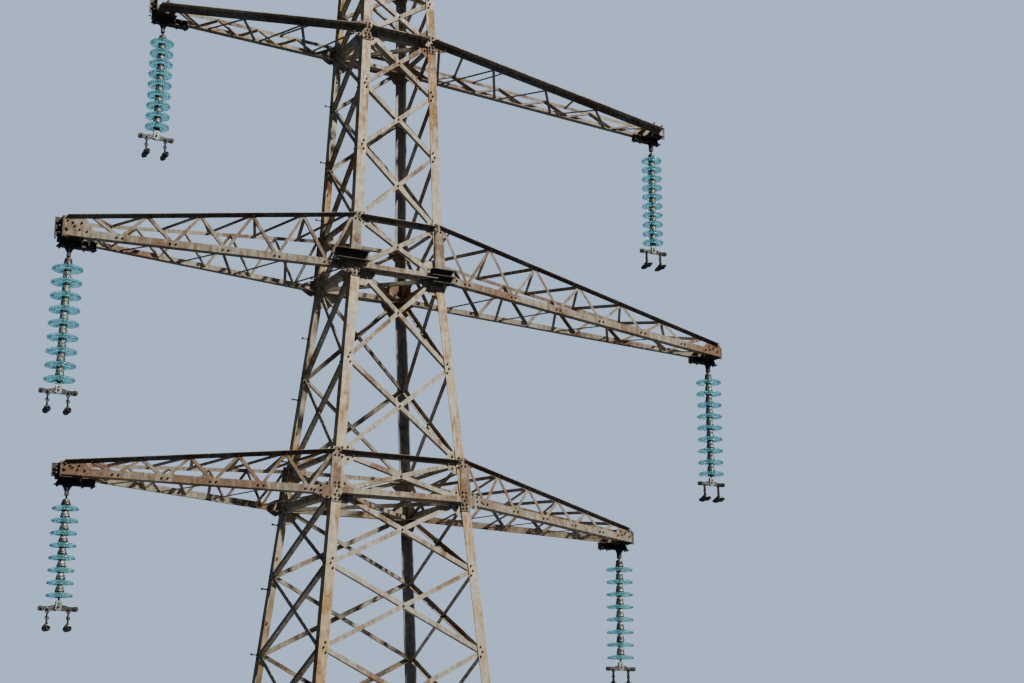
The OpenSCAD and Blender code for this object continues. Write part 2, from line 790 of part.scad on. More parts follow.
module clamp() {
    // link that hangs from the yoke, and the boat that holds the conductor
    translate([0, 0, -clamp_drop + cable_dia / 2 + 6]) cylinder(r = 10, h = clamp_drop - cable_dia / 2 + 24);
    translate([0, 0, -clamp_drop]) rotate([90, 0, 0]) rotate_extrude()
        polygon([[cable_dia / 2, -115], [cable_dia / 2 + 8, -115], [cable_dia / 2 + 17, -45],
                 [cable_dia / 2 + 17, 45], [cable_dia / 2 + 8, 115], [cable_dia / 2, 115]]);
}

module string_fittings(discs, pitch) {
    color([0.36, 0.33, 0.3]) {
        string_rod(discs, pitch);
        clevis();
        yoke(discs, pitch);
    }
}

module glass_discs(discs, dia, pitch) {
    r = dia / 2;
    bore = rod_r + glass_gap;
    color([0.45, 0.75, 0.7, 0.6])
        for (k = [0:discs - 1])
            translate([0, 0, disc_z(k, pitch)]) rotate_extrude()
                polygon([[bore, 0], [52, 0], [0.72 * r, -14], [0.95 * r, -30], [r, -38], [0.975 * r, -44],
                         [0.85 * r, -33], [0.8 * r, -50], [0.75 * r, -32], [0.65 * r, -28], [0.6 * r, -52],
                         [0.55 * r, -28], [0.44 * r, -24], [0.39 * r, -46], [0.34 * r, -disc_core],
                         [bore, -disc_core]]);
}

module hang(side, reach, z, drop) {
    translate([side * reach, 0, z - drop - pin_drop]) children();
}

module left() { mirror([1, 0, 0]) children(); }
module far() { mirror([0, 1, 0]) children(); }

// Named pieces

module leg_front_left() { leg(0); }
module leg_front_right() { leg(1); }
module leg_back_right() { leg(2); }
module leg_back_left() { leg(3); }
module bracing_front() { side_bracing(0); }
module bracing_right() { side_bracing(1); }
module bracing_back() { side_bracing(2); }
module bracing_left() { side_bracing(3); }
module plan_frame_low() { plan_frame(low_arm_height); }
module plan_frame_mid() { plan_frame(mid_arm_height); }
module plan_frame_top() { plan_frame(top_arm_height); }

module low_left_truss() {
    arm_truss(low_left_reach, low_arm_height, low_arm_depth, low_left_drop, low_left_tip, 5);
}
module low_right_truss() {
    arm_truss(low_right_reach, low_arm_height, low_arm_depth, low_right_drop, low_right_tip, 5);
}
module mid_left_truss() {
    arm_truss(mid_left_reach, mid_arm_height, mid_arm_depth, mid_left_drop, mid_left_tip, 5);
}
module mid_right_truss() {
    arm_truss(mid_right_reach, mid_arm_height, mid_arm_depth, mid_right_drop, mid_right_tip, 6);
}
module top_left_truss() {
    arm_truss(top_left_reach, top_arm_height, top_arm_depth, top_left_drop, top_left_tip, 4);
}
module top_right_truss() {
    arm_truss(top_right_reach, top_arm_height, top_arm_depth, top_right_drop, top_right_tip, 5);
}

module low_left_near_truss() {
    left() {
        low_left_truss();
        truss_ties(low_arm_height, low_arm_depth);
    }
}
module low_left_far_truss() { far() low_left_near_truss(); }
module low_left_lacing() { left() arm_lacing(low_left_reach, low_arm_height, low_left_drop, 4); }
module low_left_tip() { left() arm_tip(low_left_reach, low_arm_height, low_left_drop, low_left_tip); }
module low_right_near_truss() { low_right_truss(); }
module low_right_far_truss() { far() low_right_truss(); }
module low_right_lacing() { arm_lacing(low_right_reach, low_arm_height, low_right_drop, 4); }
module low_right_tip() { arm_tip(low_right_reach, low_arm_height, low_right_drop, low_right_tip); }
module mid_left_near_truss() {
    left() {
        mid_left_truss();
        truss_ties(mid_arm_height, mid_arm_depth);
    }
}
module mid_left_far_truss() { far() mid_left_near_truss(); }
module mid_left_lacing() { left() arm_lacing(mid_left_reach, mid_arm_height, mid_left_drop, 4); }
module mid_left_tip() { left() arm_tip(mid_left_reach, mid_arm_height, mid_left_drop, mid_left_tip); }
module mid_right_near_truss() { mid_right_truss(); }
module mid_right_far_truss() { far() mid_right_truss(); }
module mid_right_lacing() { arm_lacing(mid_right_reach, mid_arm_height, mid_right_drop, 5); }
module mid_right_tip() { arm_tip(mid_right_reach, mid_arm_height, mid_right_drop, mid_right_tip); }
module top_left_near_chord() {
    left() {
        single_chord(top_left_reach, top_arm_height, top_left_drop);
        color([0.58, 0.55, 0.5]) face_tie(top_arm_height, 0, chord_flange, chord_thick, true);
    }
}
module top_left_far_truss() {
    left() {
        far() {
            top_left_truss();
            truss_ties(top_arm_height, top_arm_depth);
        }
        top_struts(top_left_reach, top_arm_height, top_arm_depth, top_left_drop, top_left_tip,
                   [[0.22, 0.32], [0.52, 0.62]]);
    }
}
module top_left_lacing() { left() arm_lacing(top_left_reach, top_arm_height, top_left_drop, 3); }
module top_left_tip() { left() arm_tip(top_left_reach, top_arm_height, top_left_drop, top_left_tip); }
module top_right_near_chord() { single_chord(top_right_reach, top_arm_height, top_right_drop); }
module top_right_far_truss() {
    far() top_right_truss();
    top_struts(top_right_reach, top_arm_height, top_arm_depth, top_right_drop, top_right_tip,
               [[0.12, 0.2], [0.32, 0.28], [0.62, 0.66]]);
}
module top_right_lacing() { arm_lacing(top_right_reach, top_arm_height, top_right_drop, 4); }
module top_right_tip() { arm_tip(top_right_reach, top_arm_height, top_right_drop, top_right_tip); }

module low_left_string() {
    hang(-1, low_left_reach, low_arm_height, low_left_drop)
        string_fittings(low_left_discs, small_disc_pitch);
}
module low_left_discs_glass() {
    hang(-1, low_left_reach, low_arm_height, low_left_drop)
        glass_discs(low_left_discs, small_disc_dia, small_disc_pitch);
}
module low_right_string() {
    hang(1, low_right_reach, low_arm_height, low_right_drop)
        string_fittings(low_right_discs, large_disc_pitch);
}
module low_right_discs_glass() {
    hang(1, low_right_reach, low_arm_height, low_right_drop)
        glass_discs(low_right_discs, large_disc_dia, large_disc_pitch);
}
module mid_left_string() {
    hang(-1, mid_left_reach, mid_arm_height, mid_left_drop)
        string_fittings(mid_left_discs, large_disc_pitch);
}
module mid_left_discs_glass() {
    hang(-1, mid_left_reach, mid_arm_height, mid_left_drop)
        glass_discs(mid_left_discs, large_disc_dia, large_disc_pitch);
}
module mid_right_string() {
    hang(1, mid_right_reach, mid_arm_height, mid_right_drop)
        string_fittings(mid_right_discs, large_disc_pitch);
}
module mid_right_discs_glass() {
    hang(1, mid_right_reach, mid_arm_height, mid_right_drop)
        glass_discs(mid_right_discs, large_disc_dia, large_disc_pitch);
}
module top_left_string() {
    hang(-1, top_left_reach, top_arm_height, top_left_drop)
        string_fittings(top_left_discs, small_disc_pitch);
}
module top_left_discs_glass() {
    hang(-1, top_left_reach, top_arm_height, top_left_drop)
        glass_discs(top_left_discs, small_disc_dia, small_disc_pitch);
}
module top_right_string() {
    hang(1, top_right_reach, top_arm_height, top_right_drop)
        string_fittings(top_right_discs, small_disc_pitch);
}
module top_right_discs_glass() {
    hang(1, top_right_reach, top_arm_height, top_right_drop)
        glass_discs(top_right_discs, small_disc_dia, small_disc_pitch);
}

leg_front_left();
leg_front_right();
leg_back_right();
leg_back_left();
bracing_front();
bracing_right();
bracing_back();
bracing_left();
plan_frame_low();
plan_frame_mid();
plan_frame_top();
peak();
low_left_near_truss();
low_left_far_truss();
low_left_lacing();
low_left_tip();
low_left_string();
low_left_discs_glass();
low_right_near_truss();
low_right_far_truss();
low_right_lacing();
low_right_tip();
low_right_string();
low_right_discs_glass();
mid_left_near_truss();
mid_left_far_truss();
mid_left_lacing();
mid_left_tip();
mid_left_string();
mid_left_discs_glass();
mid_right_near_truss();
mid_right_far_truss();
mid_right_lacing();
mid_right_tip();
mid_right_string();
mid_right_discs_glass();
top_left_near_chord();
top_left_far_truss();
top_left_lacing();
top_left_tip();
top_left_string();
top_left_discs_glass();
top_right_near_chord();
top_right_far_truss();
top_right_lacing();
top_right_tip();
top_right_string();
top_right_discs_glass();
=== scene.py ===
"""Looks of a lattice transmission pylon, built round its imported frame.

Lengths are in metres in the frame of the part: the origin is on the tower axis at
ground level, X runs along the arms, Y along the line and Z points up.
"""

import logging
import math
from dataclasses import dataclass
from enum import Enum
from typing import Callable, Iterable, Sequence

import bmesh
import bpy
import numpy as np
from bpy.types import ID, Material, Node, NodeSocket, NodeTree, Object
from mathutils import Matrix, Vector


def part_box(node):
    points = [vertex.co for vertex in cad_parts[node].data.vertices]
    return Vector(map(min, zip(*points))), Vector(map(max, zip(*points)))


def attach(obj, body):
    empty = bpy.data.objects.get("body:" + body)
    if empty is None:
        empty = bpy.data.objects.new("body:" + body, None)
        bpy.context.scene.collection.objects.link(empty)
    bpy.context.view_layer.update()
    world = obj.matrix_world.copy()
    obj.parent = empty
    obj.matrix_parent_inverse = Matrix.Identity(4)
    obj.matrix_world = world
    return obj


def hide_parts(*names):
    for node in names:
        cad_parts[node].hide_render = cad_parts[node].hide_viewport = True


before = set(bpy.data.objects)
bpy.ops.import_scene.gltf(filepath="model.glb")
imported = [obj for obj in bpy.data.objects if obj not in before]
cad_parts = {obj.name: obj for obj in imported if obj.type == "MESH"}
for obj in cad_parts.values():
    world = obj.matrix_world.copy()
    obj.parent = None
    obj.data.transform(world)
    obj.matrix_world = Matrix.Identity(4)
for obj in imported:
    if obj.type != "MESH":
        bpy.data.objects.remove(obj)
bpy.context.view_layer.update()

LOG = logging.getLogger("pylon")
TOWER_BODY = "tower"

Colour = tuple[float, float, float]
Row = tuple[float, ...]
Pair = tuple[float, float]
Spots = tuple[Pair, ...]
Work = bmesh.types.BMesh


class Slot(Enum):
    """Material slots of the record, passed along when the added pieces are made; nothing reads
    them.
    """

    LEG = "leg_steel"
    LATTICE = "lattice_steel"
    DARK = "dark_steel"
    FITTING = "fittings"
    GLASS = "glass"


class Face(Enum):
    """The four sides of the tower, in quarter turns from the front."""

    FRONT = 0
    RIGHT = 1
    BACK = 2
    LEFT = 3


@dataclass(frozen=True)
class Tower:
    """Driving sizes of the steelwork, as the part's source gives them."""

    base_half: float = 2.260
    waist_half: float = 0.593
    cage_half: float = 0.455
    low_arm: float = 14.970
    mid_arm: float = 17.690
    top_arm: float = 20.770
    cage_top: float = 21.890
    peak_top: float = 24.040
    low_depth: float = 0.445
    mid_depth: float = 0.620
    top_depth: float = 0.140
    peak_half: float = 0.060
    tip_half: float = 0.130
    last_bar: float = 0.210
    pin_drop: float = 0.172
    leg_flange: float = 0.112
    leg_thick: float = 0.012
    chord_thick: float = 0.008
    light_thick: float = 0.005
    brace_flange: float = 0.052
    splice_thick: float = 0.009
    plate_thick: float = 0.008
    plate_reach: float = 0.250
    plate_rise: float = 0.185
    seat: float = 0.0003
    panel_start: float = 0.300
    leg_panels: int = 10
    leg_panel_ratio: float = 0.8876
    cage_panels: int = 3
    cage_panel_ratio: float = 0.87

    def stage(self, z: float) -> tuple[float, float, float]:
        """Start, half width and slope of the legs, the cage or the peak, by the height z.

        Args:
            z: The height.

        Returns:
            The stage's start and its half width there, and the slope of its corners.
        """
        ends = ((0.0, self.base_half), (self.mid_arm, self.waist_half),
                (self.cage_top, self.cage_half), (self.peak_top, self.peak_half))
        return next((low, wide, (wide - narrow) / (high - low))
                    for (low, wide), (high, narrow) in zip(ends, ends[1:]) if z < high)

    def slope(self, z: float) -> float:
        """Slope of the corners at the height z."""
        return self.stage(z)[2]

    def half(self, z: float) -> float:
        """Half of the distance between the heels at the height z."""
        low, wide, slope = self.stage(z)
        return wide - slope * (z - low)

    def brace_ends(self, low: float, high: float) -> Pair:
        """Distances from the middle of a side at which the braces of a panel end."""
        inset = self.leg_flange / 2
        return self.half(low) - inset, self.half(high) - inset

    def up_side(self, z: float, start: float) -> float:
        """Distance up the slope of a side from the height start to the height z."""
        return (z - start) * math.hypot(1, self.slope(start))

    @staticmethod
    def steps(start: float, end: float, count: int, ratio: float) -> list[float]:
        """Heights from start to end, each panel ratio times the one below it."""
        whole = 1 - ratio**count
        return [start + (end - start) * (1 - ratio**k) / whole for k in range(count + 1)]

    @property
    def low_levels(self) -> list[float]:
        """Panel points below the waist.

        Returns:
            The heights, from the ground up.
        """
        top = self.low_arm + self.low_depth
        legs = self.steps(self.panel_start, self.low_arm, self.leg_panels, self.leg_panel_ratio)
        return [*legs, top, (top + self.mid_arm) / 2, self.mid_arm]

    @property
    def high_levels(self) -> list[float]:
        """Panel points above the waist.

        Returns:
            The heights, from the waist up.
        """
        start = self.mid_arm + self.mid_depth
        cage = self.steps(start, self.top_arm, self.cage_panels, self.cage_panel_ratio)
        return [self.mid_arm, *cage, (self.top_arm + self.cage_top) / 2,
                self.cage_top - self.brace_flange]

    def side(self, face: Face, z: float) -> Matrix:
        """Drawing frame of one side: x across it, y up its slope from the height z, z outwards.

        Args:
            face: The side of the tower.
            z: The height that the frame starts from.

        Returns:
            The matrix from the drawing to the tower.
        """
        turn = Matrix.Rotation(math.radians(90 * face.value), 4, "Z")
        lean = math.pi / 2 - math.atan(self.slope(z))
        return turn @ Matrix.Translation((0, -self.half(z), z)) @ Matrix.Rotation(lean, 4, "X")


TOWER = Tower()


@dataclass(frozen=True)
class Arm:
    """One cross arm: its place, its lengths and its string."""

    name: str
    sign: int
    reach: float
    level: float
    depth: float
    drop: float
    panels: int
    discs: int
    tip: float
    disc_radius: float
    disc_pitch: float
    single: bool = False

    @property
    def half(self) -> float:
        """Half of the body's width at the arm."""
        return TOWER.half(self.level)

    @property
    def packing(self) -> float:
        """Thickness of the splice plates under the arm's root plates."""
        return TOWER.splice_thick if self.level == TOWER.mid_arm else 0.0

    @property
    def toe(self) -> float:
        """Angle between the arm's axis and its trusses in plan."""
        return math.atan((self.half - TOWER.tip_half) / (self.reach - self.half))

    @property
    def run(self) -> float:
        """Length of the trusses from the leg to the hanger pin."""
        return math.hypot(self.reach - self.half, self.half - TOWER.tip_half)

    @property
    def pin(self) -> Vector:
        """Place of the hanger pin."""
        return Vector((self.sign * self.reach, 0, self.level - self.drop - TOWER.pin_drop))

    def drawn(self, toe: float, far: bool) -> Matrix:
        """Drawing frame that starts at a leg's heel and is turned by toe in plan.

        Args:
            toe: Angle between the arm's axis and the drawing's x axis.
            far: True for the side away from the front.

        Returns:
            The matrix from the drawing to the tower.
        """
        lean = math.atan(TOWER.slope(self.level) * (math.sin(toe) + math.cos(toe)))
        mirror = Matrix.Diagonal((self.sign, -1 if far else 1, 1, 1))
        place = Matrix.Translation((self.half, -self.half - self.packing, self.level))
        turn = Matrix.Rotation(toe, 4, "Z") @ Matrix.Rotation(math.pi / 2 - lean, 4, "X")
        return mirror @ place @ turn

    def truss(self, far: bool = False) -> Matrix:
        """Drawing frame of the near or the far truss: x along it, y up, z out of the arm."""
        return self.drawn(self.toe, far)

    def root(self, far: bool = False) -> Matrix:
        """Drawing frame of the leg face that carries the root plate."""
        return self.drawn(0.0, far)

    @property
    def laced(self) -> float:
        """Share of the run that the bars of the trusses fill."""
        return 1 - TOWER.last_bar / self.run

    def low(self, k: float) -> Vector:
        """Point on the bottom chord, from 0 at the root to 1 at the last bar."""
        return Vector((self.run * self.laced * k, -self.drop * self.laced * k, 0))

    def top(self, k: float) -> Vector:
        """Point on the top chord, from 0 at the root to 1 at the last bar."""
        rise = self.tip - self.drop - self.depth
        return Vector((self.run * self.laced * k, self.depth + rise * self.laced * k, 0))


ARMS = (
    Arm("low_left", -1, 3.560, TOWER.low_arm, TOWER.low_depth, -0.100, 5, 8, 0.100, 0.140, 0.132),
    Arm("low_right", 1, 3.420, TOWER.low_arm, TOWER.low_depth, 0.205, 5, 8, 0.115, 0.170, 0.157),
    Arm("mid_left", -1, 3.730, TOWER.mid_arm, TOWER.mid_depth, -0.035, 5, 9, 0.180, 0.170, 0.157),
    Arm("mid_right", 1, 4.890, TOWER.mid_arm, TOWER.mid_depth, 0.320, 6, 9, 0.115, 0.170, 0.157),
    Arm("top_left", -1, 2.840, TOWER.top_arm, TOWER.top_depth, 0.130, 4, 9, 0.140, 0.140, 0.132,
        True),
    Arm("top_right", 1, 4.040, TOWER.top_arm, TOWER.top_depth, 0.350, 5, 10, 0.130, 0.140, 0.132,
        True),
)


# Materials


class NodeSheet:
    """Adds and joins the nodes of one shader tree."""

    def __init__(self, tree: NodeTree) -> None:
        """Keeps the tree that the nodes go into."""
        self.tree = tree

    def add(self, kind: str, **settings: object) -> Node:
        """Adds a node; a setting named by a socket's lower-case words sets that input.

        Args:
            kind: The node's type, without its ShaderNode prefix where it has one.
            settings: Properties, or inputs with spaces written as underscores.

        Returns:
            The new node.
        """
        prefix = "" if kind.startswith("NodeGroup") else "ShaderNode"
        node = self.tree.nodes.new(prefix + kind)
        for key, value in settings.items():
            name = key.replace("_", " ").lower()
            socket = next((s for s in node.inputs if s.name.lower() == name), None)
            if socket is None:
                setattr(node, key, value)
            else:
                self.feed(socket, value)
        return node

    def feed(self, socket: NodeSocket, value: object) -> None:
        """Joins an output to the socket, or sets its plain value.

        Args:
            socket: The input.
            value: An output, or a plain value.
        """
        if isinstance(value, NodeSocket):
            self.tree.links.new(value, socket)
        else:
            socket.default_value = value

    def math(self, operation: str, a: object, b: object, clamp: bool = True) -> NodeSocket:
        """Result of an operation on two values, held between 0 and 1 where clamp is on.

        Args:
            operation: Name of the Math node's operation.
            a: First value, plain or an output.
            b: Second value, plain or an output.
            clamp: True if the result is held between 0 and 1.

        Returns:
            The node's output.
        """
        node = self.add("Math", operation=operation, use_clamp=clamp)
        self.feed(node.inputs[0], a)
        self.feed(node.inputs[1], b)
        return node.outputs[0]

    def noise(self, place: NodeSocket, scale: object, detail: float, rough: float) -> NodeSocket:
        """Value of a noise texture at the given place, its scale a number or a socket."""
        node = self.add("TexNoise", vector=place, scale=scale, detail=detail, roughness=rough)
        return node.outputs["Fac"]

    def ramp(self, value: NodeSocket, low: float, high: float) -> NodeSocket:
        """Smooth step of a value between two limits.

        Args:
            value: The output that is stepped.
            low: Where the step starts.
            high: Where it ends.

        Returns:
            The stepped value, from 0 to 1.
        """
        node = self.add("MapRange", interpolation_type="SMOOTHSTEP", value=value,
                        from_min=low, from_max=high)
        return node.outputs["Result"]

    def mix(self, factor: object, a: object, b: object) -> NodeSocket:
        """Colour between a and b.

        Args:
            factor: Share of b.
            a: First colour, plain or an output.
            b: Second colour, plain or an output.

        Returns:
            The mixed colour.
        """
        node = self.add("Mix", data_type="RGBA")
        self.feed(node.inputs[0], factor)
        self.feed(node.inputs[6], a)
        self.feed(node.inputs[7], b)
        return node.outputs[2]


class WeatherGroup:
    """Shader group that all steel finishes share: rust, run-off streaks, zinc bloom and pitting."""

    NAME = "weathered_steel"
    # rain runs down the steel, so the streaks are stretched along the height
    STREAK_STRETCH = (1.0, 1.0, 0.13)
    STREAK_SCALE = 26.0
    MOTTLE_SCALE = 9.0
    BLOOM_SCALE = 17.0
    # shares of the broad patches, the mottle and the streaks in the rust
    MIXTURE = (0.50, 0.28, 0.22)
    RUST_LIMIT = 0.72
    RUST_GAIN = 0.36
    INPUTS = ("Rust", "Streaks", "Patch Scale", "Grain Scale")
    OUTPUTS = ("Rust Mask", "Stain Mask", "Bloom Mask", "Height")

    @classmethod
    def tree(cls) -> NodeTree:
        """The group, built on first use."""
        made = bpy.data.node_groups.get(cls.NAME)
        return made or cls._build()

    @classmethod
    def _build(cls) -> NodeTree:
        """Builds the group's sockets and nodes.

        Returns:
            The new group.
        """
        tree = bpy.data.node_groups.new(cls.NAME, "ShaderNodeTree")
        for way, names in (("INPUT", cls.INPUTS), ("OUTPUT", cls.OUTPUTS)):
            for name in names:
                tree.interface.new_socket(name, in_out=way, socket_type="NodeSocketFloat")
        sheet = NodeSheet(tree)
        given = sheet.add("NodeGroupInput")
        result = sheet.add("NodeGroupOutput")
        place = sheet.add("TexCoord").outputs["Object"]
        runs = sheet.add("Mapping", vector=place, scale=cls.STREAK_STRETCH).outputs[0]
        streak = sheet.noise(runs, cls.STREAK_SCALE, 6.0, 0.6)
        broad = sheet.noise(place, given.outputs["Patch Scale"], 4.0, 0.6)
        mottle = sheet.noise(place, cls.MOTTLE_SCALE, 6.0, 0.62)
        grain = sheet.noise(place, given.outputs["Grain Scale"], 8.0, 0.7)
        shares = [sheet.math("MULTIPLY", value, share)
                  for value, share in zip((broad, mottle, streak), cls.MIXTURE)]
        level = sheet.math("ADD", sheet.math("ADD", shares[0], shares[1]), shares[2])
        gain = sheet.math("MULTIPLY", given.outputs["Rust"], cls.RUST_GAIN)
        limit = sheet.math("SUBTRACT", cls.RUST_LIMIT, gain)
        rust = sheet.ramp(sheet.math("SUBTRACT", level, limit, clamp=False), -0.02, 0.07)
        specks = sheet.ramp(grain, 0.60, 0.74)
        specks = sheet.math("MULTIPLY", specks, sheet.ramp(mottle, 0.45, 0.7))
        rust = sheet.math("MAXIMUM", rust, sheet.math("MULTIPLY", specks, given.outputs["Rust"]))
        tint = sheet.math("ADD", sheet.math("MULTIPLY", streak, 0.5),
                          sheet.math("MULTIPLY", broad, 0.5))
        stain = sheet.math("MULTIPLY", sheet.ramp(tint, 0.43, 0.57), given.outputs["Streaks"])
        bloom = sheet.ramp(sheet.noise(place, cls.BLOOM_SCALE, 4.0, 0.5), 0.40, 0.68)
        height = sheet.math("ADD", sheet.math("MULTIPLY", grain, 0.5),
                            sheet.math("MULTIPLY", rust, 0.35))
        for name, value in zip(cls.OUTPUTS, (rust, stain, bloom, height)):
            sheet.feed(result.inputs[name], value)
        return tree


class Finish:
    """A named surface, made a material on its first use."""

    name: str

    def material(self) -> Material:
        """The finish as a material."""
        return bpy.data.materials.get(self.name) or self._build()

    def _build(self) -> Material:
        """Builds the material's nodes."""
        raise NotImplementedError

    def _blank(self, *shown: float) -> tuple[Material, NodeSheet, Node]:
        """A new material of the finish's name.

        Args:
            shown: Its colour in the plain viewport, with its alpha last.

        Returns:
            The material, its sheet of nodes and its shader.
        """
        material = bpy.data.materials.new(self.name)
        material.use_nodes = True
        material.diffuse_color = shown
        return material, NodeSheet(material.node_tree), material.node_tree.nodes["Principled BSDF"]


@dataclass(frozen=True)
class SteelFinish(Finish):
    """One steel surface: its colours, how far it has rusted and how rough it is."""

    name: str
    sound: Colour
    bloom: Colour
    stain: Colour
    rust: Colour
    rust_deep: Colour
    rust_share: float
    streaks: float
    patch_scale: float
    grain_scale: float
    metallic: float = 0.15
    roughness: float = 0.62
    relief: float = 0.30

    def _build(self) -> Material:
        """Builds the material's nodes round the shared weather group.

        Returns:
            The new material.
        """
        material, sheet, shader = self._blank(*self.sound, 1.0)
        out = sheet.add("Group", node_tree=WeatherGroup.tree(), rust=self.rust_share,
                        streaks=self.streaks, patch_scale=self.patch_scale,
                        grain_scale=self.grain_scale).outputs
        colour = sheet.mix(out["Bloom Mask"], (*self.sound, 1), (*self.bloom, 1))
        colour = sheet.mix(out["Stain Mask"], colour, (*self.stain, 1))
        place = sheet.add("TexCoord").outputs["Object"]
        depth = sheet.ramp(sheet.noise(place, 31.0, 6.0, 0.65), 0.36, 0.66)
        rust = sheet.mix(depth, (*self.rust, 1), (*self.rust_deep, 1))
        colour = sheet.mix(out["Rust Mask"], colour, rust)
        sheet.feed(shader.inputs["Base Color"], colour)
        shine = sheet.math("MULTIPLY", sheet.math("SUBTRACT", 1.0, out["Rust Mask"]), self.metallic)
        sheet.feed(shader.inputs["Metallic"], shine)
        rough = sheet.math("ADD", sheet.math("MULTIPLY", out["Rust Mask"], 0.30), self.roughness)
        rough = sheet.math("SUBTRACT", rough, sheet.math("MULTIPLY", out["Bloom Mask"], 0.10))
        sheet.feed(shader.inputs["Roughness"], rough)
        bump = sheet.add("Bump", strength=self.relief, distance=0.0015, height=out["Height"])
        sheet.feed(shader.inputs["Normal"], bump.outputs["Normal"])
        return material


@dataclass(frozen=True)
class GlassFinish(Finish):
    """Toughened green glass of the insulator discs, with a thin film of dust."""

    name: str = "insulator_glass"
    clear: Colour = (0.34, 0.67, 0.68)
    dusty: Colour = (0.14, 0.39, 0.41)

    def _build(self) -> Material:
        """Builds the material's nodes.

        Returns:
            The new material.
        """
        material, sheet, shader = self._blank(*self.clear, 0.6)
        place = sheet.add("TexCoord").outputs["Object"]
        dust = sheet.ramp(sheet.noise(place, 24.0, 5.0, 0.6), 0.42, 0.72)
        colour = sheet.mix(dust, (*self.clear, 1), (*self.dusty, 1))
        sheet.feed(shader.inputs["Base Color"], colour)
        rough = sheet.math("ADD", sheet.math("MULTIPLY", dust, 0.12), 0.03)
        sheet.feed(shader.inputs["Roughness"], rough)
        shader.inputs["Metallic"].default_value = 0.0
        shader.inputs["Transmission Weight"].default_value = 0.92
        shader.inputs["IOR"].default_value = 1.5
        ripple = sheet.add("Bump", strength=0.12, distance=0.001,
                           height=sheet.noise(place, 70.0, 3.0, 0.5))
        sheet.feed(shader.inputs["Normal"], ripple.outputs["Normal"])
        return material


LEG_STEEL = SteelFinish(
    "leg_steel_weathered", (0.40, 0.355, 0.26), (0.50, 0.465, 0.37), (0.43, 0.275, 0.115),
    (0.40, 0.24, 0.095), (0.23, 0.125, 0.055), 0.62, 0.90, 0.60, 55.0, metallic=0.12)
# painted shade: copy of the leg steel for the back right leg, pale grey with darker, duller rust
# and stains
PAINTED_SHADE_LEG_STEEL = SteelFinish(
    "leg_steel_grey_painted_shade", (0.33, 0.33, 0.32), (0.44, 0.44, 0.43), (0.17, 0.16, 0.145),
    (0.12, 0.098, 0.082), (0.065, 0.056, 0.050), 0.45, 0.60, 0.60, 55.0, metallic=0.12)
BRACE_STEEL = SteelFinish(
    "bracing_steel_weathered", (0.33, 0.30, 0.225), (0.46, 0.43, 0.34), (0.25, 0.19, 0.11),
    (0.27, 0.15, 0.08), (0.14, 0.085, 0.05), 0.55, 0.70, 1.2, 70.0, relief=0.28)
ARM_STEEL = SteelFinish(
    "arm_steel_weathered", (0.27, 0.235, 0.17), (0.38, 0.34, 0.265), (0.18, 0.135, 0.08),
    (0.25, 0.14, 0.075), (0.12, 0.075, 0.045), 0.60, 0.75, 1.0, 65.0)
TIP_STEEL = SteelFinish(
    "tip_steel_dark", (0.060, 0.052, 0.046), (0.10, 0.088, 0.075), (0.05, 0.038, 0.03),
    (0.13, 0.070, 0.038), (0.07, 0.042, 0.028), 0.55, 0.60, 2.4, 85.0, metallic=0.30,
    relief=0.35)
FITTING_STEEL = SteelFinish(
    "string_fittings_iron", (0.085, 0.072, 0.064), (0.23, 0.205, 0.185), (0.045, 0.036, 0.030),
    (0.125, 0.070, 0.050), (0.055, 0.036, 0.028), 0.48, 0.45, 3.5, 120.0, metallic=0.50,
    roughness=0.36, relief=0.25)
CLEVIS_STEEL = SteelFinish(
    "clevis_zinc", (0.27, 0.26, 0.245), (0.40, 0.39, 0.365), (0.17, 0.145, 0.12),
    (0.24, 0.14, 0.08), (0.12, 0.07, 0.045), 0.25, 0.30, 4.0, 120.0, metallic=0.55,
    roughness=0.42, relief=0.20)
BOLT_STEEL = SteelFinish(
    "bolt_steel_dark", (0.13, 0.108, 0.082), (0.21, 0.18, 0.14), (0.09, 0.064, 0.042),
    (0.14, 0.080, 0.044), (0.07, 0.044, 0.028), 0.50, 0.40, 5.0, 160.0, metallic=0.30,
    roughness=0.60, relief=0.20)
GLASS = GlassFinish()

# start and end of a CAD node's name, and its finish; the first row that fits counts
NODE_FINISHES: tuple[tuple[str, str, Finish], ...] = (
    # the back right leg takes the copy of the leg steel with painted shade
    ("", "_glass", GLASS), ("leg_back_right", "", PAINTED_SHADE_LEG_STEEL), ("leg_", "", LEG_STEEL),
    ("", "_tip", TIP_STEEL), ("", "_string", FITTING_STEEL), ("low_", "", ARM_STEEL),
    ("mid_", "", ARM_STEEL), ("top_", "", ARM_STEEL), ("", "", BRACE_STEEL),
)


# Meshes


def new_object(name: str, data: ID) -> Object:
    """A new object in the scene, of a mesh, a lamp or a camera.

    Args:
        name: The object's name.
        data: What it shows.

    Returns:
        The new object.
    """
    made = bpy.data.objects.new(name, data)
    bpy.context.scene.collection.objects.link(made)
    return made


class Stamp:
    """A small mesh with few faces that is set down many times."""

    def __init__(self, shape: Callable[[Work], None]) -> None:
        """Makes the shape once and keeps its corners and faces.

        Args:
            shape: Fills an empty work mesh with the shape.
        """
        work = bmesh.new()
        shape(work)
        bmesh.ops.recalc_face_normals(work, faces=work.faces)
        work.verts.index_update()
        self.points = np.array([tuple(v.co) for v in work.verts])
        self.faces = [[v.index for v in f.verts] for f in work.faces]
        work.free()


